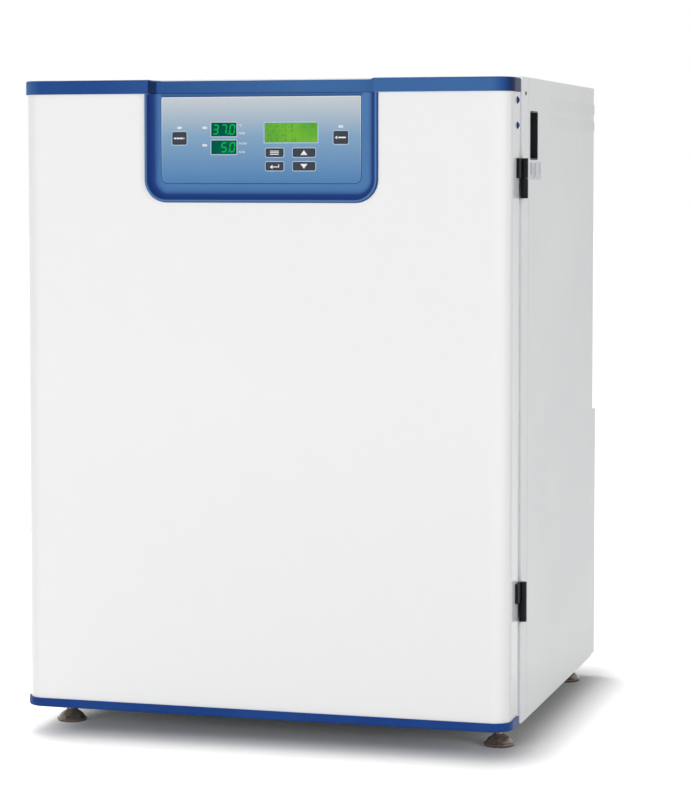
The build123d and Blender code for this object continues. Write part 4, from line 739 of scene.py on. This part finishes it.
def dropped(node, points, direction, lift=0.00005):
    """Points of a flat drawing, dropped along a direction onto a node, with a small lift off it."""
    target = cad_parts[node]
    aim = Vector(direction)
    found = []
    for a, b in points:
        start = Vector((a, 0, b)) if direction[1] else Vector((0, a, b))
        hit, place, facing, index = target.ray_cast(start - aim, aim)
        found.append(tuple(place - aim * lift))
    return found


into_door = (0, 1, 0)
key_symbols = {
    "up_key": [[(-0.0047, -0.0030), (0.0047, -0.0030), (0.0, 0.0031)]],
    "down_key": [[(-0.0047, 0.0030), (0.0, -0.0031), (0.0047, 0.0030)]],
    "menu_key": [bar(0, offset, 0.0118, 0.0010) for offset in (-0.0021, 0, 0.0021)],
    "enter_key": [
        [(-0.0062, -0.0009), (-0.0026, 0.0018), (-0.0026, -0.0036)],
        bar(0.0018, -0.0009, 0.0088, 0.0011),
        bar(0.00565, 0.0010, 0.0011, 0.0027),
    ],
    "left_key": [bar(offset, 0, 0.0036, 0.0020) for offset in (-0.0056, -0.0014, 0.0028)]
    + [bar(0.0062, 0, 0.0012, 0.0020)],
    "right_key": [[(-0.0078, 0.0), (-0.0046, 0.0022), (-0.0046, -0.0022)], bar(0.0018, 0, 0.0100, 0.0018)],
}
for name, loops in key_symbols.items():
    symbols = new_shape()
    low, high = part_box(name)
    x, z = middle(low, high, 0, 2)
    for loop in loops:
        add_face(symbols, dropped(name, [(x + a, z + b) for a, b in loop], into_door))
    make_piece(name + "_symbol", symbols, ink_white, name, out_of_door)

# Hinges: steel leaves and knuckles in a black satin coat. The lower leaf is fixed to the casing, and
# the door lifts off it with the upper leaf.
hinge_black = new_finish("hinge_black", srgb(10, 12, 17), 0.45, Specular_IOR_Level=0.18)
grain(hinge_black, 0.0009, 0.00003)
shade(hinge_black, (8, 10, 15), (14, 17, 22), 0.02)
dress(hinge_black, "hinge_cabinet_leaves", "hinge_door_leaves")

# Digit displays: dark green tinted windows, behind them seven-segment digits. Lit segments glow
# green and the others just show.
digit_window = new_finish("digit_window", srgb(0, 86, 70), 0.3, Specular_IOR_Level=0.03)
shade(digit_window, (0, 78, 66), (0, 98, 78), 0.012)
dress(digit_window, "led_displays")
digit_lit = new_finish(
    "digit_lit",
    srgb(0, 120, 52),
    0.4,
    Specular_IOR_Level=0.1,
    Emission_Color=srgb(0, 206, 84),
    Emission_Strength=0.5,
)
shade(digit_lit, (0, 110, 46), (0, 130, 58), 0.004)
digit_dark = new_finish("digit_dark", srgb(0, 92, 66), 0.4, Specular_IOR_Level=0.03)
shade(digit_dark, (0, 86, 62), (0, 98, 70), 0.004)
digit_width, digit_height, digit_pitch = 0.0078, 0.0132, 0.0112
segment, segment_gap = 0.0017, 0.00018
slant = math.tan(math.radians(7))
lit_segments = {"0": "abcdef", "3": "abcdg", "5": "acdfg", "7": "abc", " ": ""}


def segment_loops(x, z):
    """Loops of the seven segments a to g of one digit, about its middle, leaning to the right."""
    half = segment / 2
    reach_x, reach_z = digit_width / 2 - half, digit_height / 2 - half
    ends = {
        "a": ((-reach_x, reach_z), (reach_x, reach_z)),
        "b": ((reach_x, reach_z), (reach_x, 0)),
        "c": ((reach_x, 0), (reach_x, -reach_z)),
        "d": ((-reach_x, -reach_z), (reach_x, -reach_z)),
        "e": ((-reach_x, 0), (-reach_x, -reach_z)),
        "f": ((-reach_x, reach_z), (-reach_x, 0)),
        "g": ((-reach_x, 0), (reach_x, 0)),
    }
    loops = {}
    for letter, ((ax, az), (bx, bz)) in ends.items():
        length = math.hypot(bx - ax, bz - az)
        ux, uz = (bx - ax) / length, (bz - az) / length
        points = []
        for along, across in (
            (segment_gap, 0),
            (half, half),
            (length - half, half),
            (length - segment_gap, 0),
            (length - half, -half),
            (half, -half),
        ):
            px = ax + ux * along - uz * across
            pz = az + uz * along + ux * across
            points.append((x + px + slant * pz, z + pz))
        loops[letter] = points
    return loops


lit, dark = new_shape(), new_shape()
digit_lift, dot_size, dot_rise, dot_shift = 0.00008, 0.0016, 0.0008, 0.0003
digits_x, digits_y = (led_low[0] + led_high[0]) / 2, led_low[1] - digit_lift
for text, z in (("370", led_high[2] - window_height / 2), (" 50", led_low[2] + window_height / 2)):
    for place, digit in enumerate(text):
        for letter, loop in segment_loops(digits_x + (place - 1) * digit_pitch, z).items():
            target = lit if letter in lit_segments[digit] else dark
            add_face(target, [(a, digits_y, b) for a, b in loop])
    dot_x, dot_z = digits_x + 0.5 * digit_pitch - dot_shift, z - digit_height / 2 + dot_rise
    dot_loop = rounded(dot_x, dot_z, dot_size, dot_size, 0.0007, steps=3)
    add_face(lit, [(a, digits_y, b) for a, b in dot_loop])
make_piece("digits_lit", lit, digit_lit, "door", out_of_door)
make_piece("digits_dark", dark, digit_dark, "door", out_of_door)

# Unit marks: the units of the values, printed in white ink on the membrane, to the right of the
# digits.
unit_marks = new_shape()
unit_x, letter_height = led_high[0] + 0.0036, 0.0034
for sign, window_top, drop in (
    ("\u00b0C", led_high[2], 0.0050),
    ("% RH", led_high[2], 0.0150),
    ("% CO2", led_low[2] + window_height, 0.0050),
    ("% O2", led_low[2] + window_height, 0.0160),
):
    letters = bpy.data.curves.new("letters", "FONT")
    letters.body = sign
    letters.size = letter_height
    letters.resolution_u = 2
    letters.offset = 0.00008
    letters_object = bpy.data.objects.new("letters", letters)
    flat = bpy.data.meshes.new_from_object(letters_object)
    for face in flat.polygons:
        corners = [flat.vertices[number].co for number in face.vertices]
        add_face(unit_marks, on_film((unit_x + c.x, window_top - drop + c.y) for c in corners))
    bpy.data.objects.remove(letters_object)
make_piece("unit_marks", unit_marks, ink_white, "door", out_of_door)

# Crystal display: lit yellow-green window with four rows of dark characters, each a grid of dots. It
# stands behind an opening of the membrane.
crystal_window = new_finish(
    "crystal_window",
    srgb(94, 160, 44),
    0.35,
    Specular_IOR_Level=0.25,
    Emission_Color=srgb(96, 170, 30),
    Emission_Strength=0.2,
)
shade(crystal_window, (84, 152, 46), (106, 170, 44), 0.02)
dress(crystal_window, "lcd_display")
crystal_dark = new_finish("crystal_dark", srgb(58, 122, 52), 0.4)
shade(crystal_dark, (52, 114, 50), (64, 130, 54), 0.003)
dot_rows = {
    "0": (14, 17, 19, 21, 25, 17, 14),
    "1": (4, 12, 4, 4, 4, 4, 14),
    "2": (14, 17, 1, 2, 4, 8, 31),
    "3": (31, 2, 4, 2, 1, 17, 14),
    "5": (31, 16, 30, 1, 1, 17, 14),
    "7": (31, 1, 2, 4, 8, 8, 8),
    "9": (14, 17, 17, 15, 1, 2, 12),
    ".": (0, 0, 0, 0, 0, 12, 12),
    ":": (0, 12, 12, 0, 12, 12, 0),
    "-": (0, 0, 0, 31, 0, 0, 0),
    " ": (0, 0, 0, 0, 0, 0, 0),
}
lcd_lines = ("37.0-37.0  12:35", "5.0 - 5.0", "95 - 90", "20.9  0.10")
lcd_margin, row_pitch, column_pitch, dot_pitch = 0.0026, 0.0059, 0.0041, 0.00062
dots = [
    (
        lcd_low[0] + lcd_margin + column * column_pitch + bit * dot_pitch,
        lcd_low[1],
        lcd_high[2] - lcd_margin - row * row_pitch - line * dot_pitch,
    )
    for row, text in enumerate(lcd_lines)
    for column, character in enumerate(text)
    for line, bits in enumerate(dot_rows[character])
    for bit in range(5)
    if bits >> (4 - bit) & 1
]
tree, sizes_in = rule_tree("crystal_dot_rule", {"Dot": "NodeSocketFloat", "Depth": "NodeSocketFloat"})
dot_size, depth = sizes_in.outputs["Dot"], sizes_in.outputs["Depth"]
extent = add_node(tree, "ShaderNodeCombineXYZ", [("X", dot_size), ("Y", depth), ("Z", dot_size)])
dot = add_node(tree, "GeometryNodeMeshCube", [("Size", extent.outputs[0])])
end_rule(tree, copies(tree, sizes_in, dot.outputs["Mesh"]), crystal_dark)
sizes = {"Dot": 0.00056, "Depth": 0.0001}
made_by_rule("crystal_characters", tree, sizes, "door", dots)

# Lamps: small moulded lenses over unlit diodes, so they look pale. Each stands in a slot of the
# membrane.
lamp_lens = new_finish("lamp_lens", srgb(226, 230, 232), 0.3)
shade(lamp_lens, (220, 224, 228), (232, 236, 238), 0.002)
dress(lamp_lens, "indicator_lamps")

# Switch pocket, rocker, mains inlet and latch: black moulded plastic with a spark-eroded texture. The
# pocket and the inlet are set in holes of the casing.
black_moulding = new_finish("black_moulding", srgb(17, 18, 21), 0.5)
grain(black_moulding, 0.0006, 0.00005)
shade(black_moulding, (14, 15, 18), (22, 23, 26), 0.02)
dress(black_moulding, "switch_pocket", "mains_rocker", "power_inlet", "latch_knob")

# Marks on the mains rocker: a bar for on and a ring for off, printed in white ink on the two halves
# of its face.
rocker_low, rocker_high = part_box("mains_rocker")
rocker_y = (rocker_low[1] + rocker_high[1]) / 2
quarter_height = (rocker_high[2] - rocker_low[2]) / 4
bar_z, ring_z = rocker_high[2] - quarter_height, rocker_low[2] + quarter_height
into_side, out_of_side = (-1, 0, 0), (1, 0, 0)
marks = new_shape()
add_face(marks, dropped("mains_rocker", bar(rocker_y, bar_z, 0.0014, 0.0064), into_side))
outer, inner = (
    dropped("mains_rocker", rounded(rocker_y, ring_z, width, width, radius), into_side)
    for width, radius in ((0.0068, 0.00339), (0.0042, 0.00209))
)
add_ring(marks, outer, inner)
make_piece("rocker_marks", marks, ink_white, "mains_rocker", out_of_side)

# Rating label: silver-grey film stuck on the right side below the pocket. It is bare but for ruled
# lines in grey ink.
label_grey = new_finish("label_grey", srgb(198, 199, 207), 0.4)
shade(label_grey, (194, 195, 203), (202, 203, 210), 0.004)
label_ink = new_finish("label_ink", srgb(150, 152, 164), 0.5)
shade(label_ink, (144, 146, 158), (156, 158, 170), 0.003)
label_y, label_z, label_width, label_height = -0.1485, 0.7462, 0.073, 0.0232
plate_loop = rounded(label_y, label_z, label_width, label_height, 0.0015)
label = new_shape()
add_face(label, dropped("right_side_panel", plate_loop, into_side, lift=0.0001))
make_piece("rating_label", label, label_grey, "cabinet", out_of_side)
lines = new_shape()
tallest_line = 0.019
for from_middle, width, height in (
    (-0.027, 0.0075, 0.015),
    (-0.010, 0.0045, tallest_line),
    (0.0, 0.0045, 0.017),
    (0.026, 0.0035, 0.014),
):
    line = bar(label_y + from_middle, label_z + (tallest_line - height) / 2, width, height)
    add_face(lines, dropped("right_side_panel", line, into_side, lift=0.00015))
make_piece("rating_label_lines", lines, label_ink, "cabinet", out_of_side)

# Chamber, racks, shelves, water pan, duct and brackets: stainless sheet, folded and brushed along its
# width.
brushed_steel = new_finish("brushed_steel", srgb(186, 189, 191), 0.3, Metallic=1.0)
grain(brushed_steel, 0.0006, 0.00001, stretch=(0.03, 1, 1), detail=3.0)
shade(brushed_steel, (176, 180, 182), (198, 200, 202), 0.004, stretch=(0.02, 1, 1))
gloss(brushed_steel, 0.003, 0.24, 0.38, stretch=(0.02, 1, 1))
steel_nodes = ("chamber_liner", "shelf_racks", "shelf_1", "shelf_2", "shelf_3", "water_pan", "air_duct")
dress(brushed_steel, *steel_nodes)
dress(brushed_steel, "glass_door_brackets", "glass_hinge_leaves", "chamber_sensors", "blower_shaft")

# Glass door: clear toughened pane, faintly green at its edge, held by steel hinge leaves that lift
# off the pins of their brackets.
clear_glass = new_finish("clear_glass", (0.93, 0.97, 0.95, 1), 0.03, Transmission_Weight=1.0, IOR=1.5)
gloss(clear_glass, 0.2, 0.015, 0.04)
dress(clear_glass, "glass_pane")

# Door seal: one white extrusion with a magnet bead between two lips, pressed by its root into a
# groove of the inner door panel and welded at the corners.
seal_white = new_finish("seal_white", srgb(236, 238, 240), 0.55)
grain(seal_white, 0.0008, 0.00004)
shade(seal_white, (232, 234, 237), (240, 242, 244), 0.03)
seal_low, seal_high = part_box("door_gasket")
seal_width, seal_corner = 0.012, 0.008
seal_middle_z = (seal_low[2] + seal_high[2]) / 2
width, height = 2 * seal_high[0] - seal_width, seal_high[2] - seal_low[2] - seal_width
seal_path = [(x, seal_low[1], z) for x, z in rounded(0, seal_middle_z, width, height, seal_corner)]
half_section = (
    (0.0, 0.0025), (0.0030, 0.0025), (0.0030, 0.0060), (0.0037, 0.0060),
    (0.0044, 0.0050), (0.0044, 0.0036), (0.0051, 0.0030), (0.0057, 0.0022),
)
section = [(x, -y, 0) for x, y in half_section] + [(x, y, 0) for x, y in reversed(half_section)]


def loop_edges(points):
    """Edges that join points in order and close the loop."""
    return [(i, (i + 1) % len(points)) for i in range(len(points))]


section_mesh = bpy.data.meshes.new("seal_section")
section_mesh.from_pydata(section, loop_edges(section), [])
section_object = placed("seal_section", section_mesh)
size_kinds = {"Section": "NodeSocketObject", "Out of the door": "NodeSocketVector"}
tree, sizes_in = rule_tree("seal_rule", size_kinds)
section_in = add_node(tree, "GeometryNodeObjectInfo", [("Object", sizes_in.outputs["Section"])])
section_curve = add_node(tree, "GeometryNodeMeshToCurve", [("Mesh", section_in.outputs["Geometry"])])
path = add_node(tree, "GeometryNodeMeshToCurve", [("Mesh", sizes_in.outputs["Geometry"])])
links = [("Curve", path.outputs[0]), ("Normal", sizes_in.outputs["Out of the door"])]
upright = add_node(tree, "GeometryNodeSetCurveNormal", links, mode="FREE")
links = [("Curve", upright.outputs[0]), ("Profile Curve", section_curve.outputs[0])]
swept = add_node(tree, "GeometryNodeCurveToMesh", links)
end_rule(tree, swept.outputs[0], seal_white)
sizes = {"Section": section_object, "Out of the door": (0, 1, 0)}
edges = loop_edges(seal_path)
door_seal = made_by_rule("door_seal", tree, sizes, "door", seal_path, edges)
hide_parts("door_gasket")
bpy.data.objects.remove(section_object)

# Chamber seal and port stopper: pale moulded silicone. The seal runs round the mouth of the chamber,
# and the stopper is pushed into the port.
silicone = new_finish(
    "silicone", srgb(224, 220, 212), 0.4, Subsurface_Weight=0.2, Subsurface_Radius=(0.002,) * 3
)
grain(silicone, 0.001, 0.00003)
shade(silicone, (216, 212, 204), (230, 227, 220), 0.02)
dress(silicone, "chamber_gasket", "port_stopper")

# Inner door panel and port tube: white moulded plastic with a matt texture. The panel closes the
# back of the door, and the tube lines the port in the back of the cabinet.
white_moulding = new_finish("white_moulding", srgb(236, 236, 234), 0.5)
grain(white_moulding, 0.0009, 0.00004)
shade(white_moulding, (232, 232, 230), (239, 239, 238), 0.08)
dress(white_moulding, "door_inner_panel", "access_port")

# Insulation: cream rigid foam, cut into slabs that show their cells. They lie round the chamber and
# inside the door.
cream_foam = new_finish("cream_foam", srgb(226, 212, 168), 0.85)
grain(cream_foam, 0.0018, 0.0002)
shade(cream_foam, (216, 201, 156), (233, 221, 182), 0.02)
dress(cream_foam, "door_insulation", "insulation")

# Heating pads: red-brown silicone mats with the ribs of the element inside, bonded to the outside of
# the chamber.
heater_mat = new_finish("heater_mat", srgb(176, 84, 52), 0.55)
grain(heater_mat, 0.004, 0.0002, stretch=(1, 1, 0.1))
shade(heater_mat, (166, 76, 46), (188, 94, 60), 0.03)
dress(heater_mat, "heating_pads")

# Circuit boards: green lacquered laminate with darker copper runs, one behind the console and one on
# the electronics tray.
board_green = new_finish("board_green", srgb(24, 96, 58), 0.35, Coat_Weight=0.3)
shade(board_green, (16, 78, 46), (32, 112, 68), 0.004, stretch=(1, 0.2, 0.2), low=0.48, high=0.52)
dress(board_green, "display_board", "power_board")

# Blower motor and wheel: a cast housing in a dark grey coat, and a moulded grey wheel that is pushed
# on the shaft.
motor_grey = new_finish("motor_grey", srgb(88, 91, 95), 0.5, Metallic=0.3)
grain(motor_grey, 0.0012, 0.00008)
shade(motor_grey, (80, 83, 87), (98, 101, 105), 0.02)
dress(motor_grey, "blower_motor", "blower_wheel")

# Air filter: a ring of pleated white fibre glued between two moulded caps; the neck of the upper cap
# is pushed up into the duct.
filter_white = new_finish("filter_white", srgb(238, 238, 234), 0.8)
grain(filter_white, 0.0009, 0.00005)
shade(filter_white, (232, 232, 228), (243, 243, 240), 0.01)
filter_low, filter_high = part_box("air_filter")
filter_middle = middle(filter_low, filter_high, 0, 1)
filter_radius = filter_high[0] - filter_middle[0]
cap_height, neck_height, neck_radius, pleat_gap = 0.004, 0.0024, 0.030, 0.0015
pleats_height = filter_high[2] - filter_low[2] - 2 * cap_height - neck_height
size_kinds = {"Folds": "NodeSocketInt"}
for label in ("Outer radius", "Depth share", "Height"):
    size_kinds[label] = "NodeSocketFloat"
tree, sizes_in = rule_tree("pleat_rule", size_kinds)
twice = reckon(tree, "MULTIPLY", sizes_in.outputs["Folds"], 2)
links = [("Vertices", twice), ("Radius", sizes_in.outputs["Outer radius"])]
circle = add_node(tree, "GeometryNodeMeshCircle", links)
order = add_node(tree, "GeometryNodeInputIndex")
parity = reckon(tree, "MODULO", order.outputs[0], 2)
inward = reckon(tree, "MULTIPLY", parity, sizes_in.outputs["Depth share"])
share = reckon(tree, "SUBTRACT", 1, inward)
place = add_node(tree, "GeometryNodeInputPosition")
links = [(0, place.outputs[0]), ("Scale", share)]
folded = add_node(tree, "ShaderNodeVectorMath", links, operation="SCALE")
links = [("Geometry", circle.outputs[0]), ("Position", folded.outputs[0])]
zigzag = add_node(tree, "GeometryNodeSetPosition", links)
upward = add_node(tree, "ShaderNodeCombineXYZ", [("Z", sizes_in.outputs["Height"])])
links = [("Mesh", zigzag.outputs[0]), ("Offset", upward.outputs[0])]
raised = add_node(tree, "GeometryNodeExtrudeMesh", links, mode="EDGES")
end_rule(tree, copies(tree, sizes_in, raised.outputs["Mesh"]), filter_white)
sizes = {"Folds": 56, "Outer radius": filter_radius - pleat_gap, "Depth share": 0.24, "Height": pleats_height}
points = [(*filter_middle, filter_low[2] + cap_height)]
filter_pleats = made_by_rule("filter_pleats", tree, sizes, "cabinet", points)
caps = new_shape()
cap_edge = 0.0008
neck_base = filter_high[2] - filter_low[2] - neck_height
neck_bore, cap_bore = neck_radius - 0.003, filter_radius - 0.018
upper_cap = (
    (cap_bore, neck_base - cap_height),
    (filter_radius, neck_base - cap_height),
    (filter_radius, neck_base - cap_edge),
    (filter_radius - cap_edge, neck_base),
    (neck_radius, neck_base),
    (neck_radius, neck_base + neck_height),
    (neck_bore, neck_base + neck_height),
    (neck_bore, neck_base - cap_height),
    (cap_bore, neck_base - cap_height),
)
lower_cap = (
    (0.0, 0.0015),
    (0.034, 0.0015),
    (0.036, 0.0),
    (filter_radius - cap_edge, 0.0),
    (filter_radius, cap_edge),
    (filter_radius, cap_height),
    (0.0, cap_height),
)
for profile in (upper_cap, lower_cap):
    turned(caps, profile, filter_middle, 64, low=filter_low[2])
filter_caps = make_piece("filter_caps", caps, white_moulding, "cabinet")
for piece in (filter_pleats, filter_caps):
    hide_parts("air_filter")

# Gas inlet: a tail for the gas hose, turned from brass, which shows the marks of the tool. It is
# fixed in the rear panel.
turned_brass = new_finish("turned_brass", srgb(198, 164, 92), 0.3, Metallic=1.0)
grain(turned_brass, 0.0005, 0.00003, stretch=(0.2, 1, 0.2))
shade(turned_brass, (188, 152, 80), (208, 176, 106), 0.004)
dress(turned_brass, "gas_inlet")

# Feet: turned pads in a dark bronze finish, with a rolled rim over a flat base, on a threaded stem
# with a copper-coloured plating.
foot_bronze = new_finish("foot_bronze", srgb(124, 113, 104), 0.24, Metallic=0.75)
shade(foot_bronze, (110, 99, 91), (138, 126, 116), 0.006)
gloss(foot_bronze, 0.002, 0.2, 0.3)
stem_copper = new_finish("stem_copper", srgb(226, 190, 164), 0.3, Metallic=0.6)
shade(stem_copper, (220, 182, 156), (232, 198, 172), 0.002)
gloss(stem_copper, 0.001, 0.22, 0.4)
pad_profile = (
    (0.0, 0.0), (0.0190, 0.0), (0.0195, 0.0005), (0.0195, 0.0018),
    (0.0201, 0.0022), (0.0205, 0.0030), (0.0204, 0.0038), (0.0197, 0.0045),
    (0.0186, 0.0048), (0.0180, 0.0053), (0.0166, 0.0077), (0.0144, 0.0101),
    (0.0118, 0.0121), (0.0094, 0.0136), (0.0078, 0.0147), (0.0072, 0.0160),
    (0.0050, 0.0162),
)
thread_pitch, thread_root, thread_crest = 0.00125, 0.0044, 0.0050
stem_low, thread_low, turns_low, top_gap = 0.0158, 0.0168, 0.0172, 0.0002
for number in range(1, 5):
    node = f"foot_{number}"
    low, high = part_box(node)
    centre = middle(low, high, 0, 1)
    pad = new_shape()
    turned(pad, pad_profile, centre, 48)
    pad_piece = make_piece(f"foot_pad_{number}", pad, foot_bronze, node, smooth=True)
    stem_profile = [(0.0049, stem_low)]
    for turn_number in range(int((high[2] - turns_low) / thread_pitch)):
        height = thread_low + turn_number * thread_pitch
        stem_profile += [(thread_root, height), (thread_crest, height + thread_pitch / 2)]
    stem_profile += [(thread_root, high[2] - top_gap), (0.0, high[2] - top_gap)]
    stem = new_shape()
    turned(stem, stem_profile, centre, 32)
    stem_piece = make_piece(f"foot_stem_{number}", stem, stem_copper, node)
    for piece in (pad_piece, stem_piece):
        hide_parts(node)
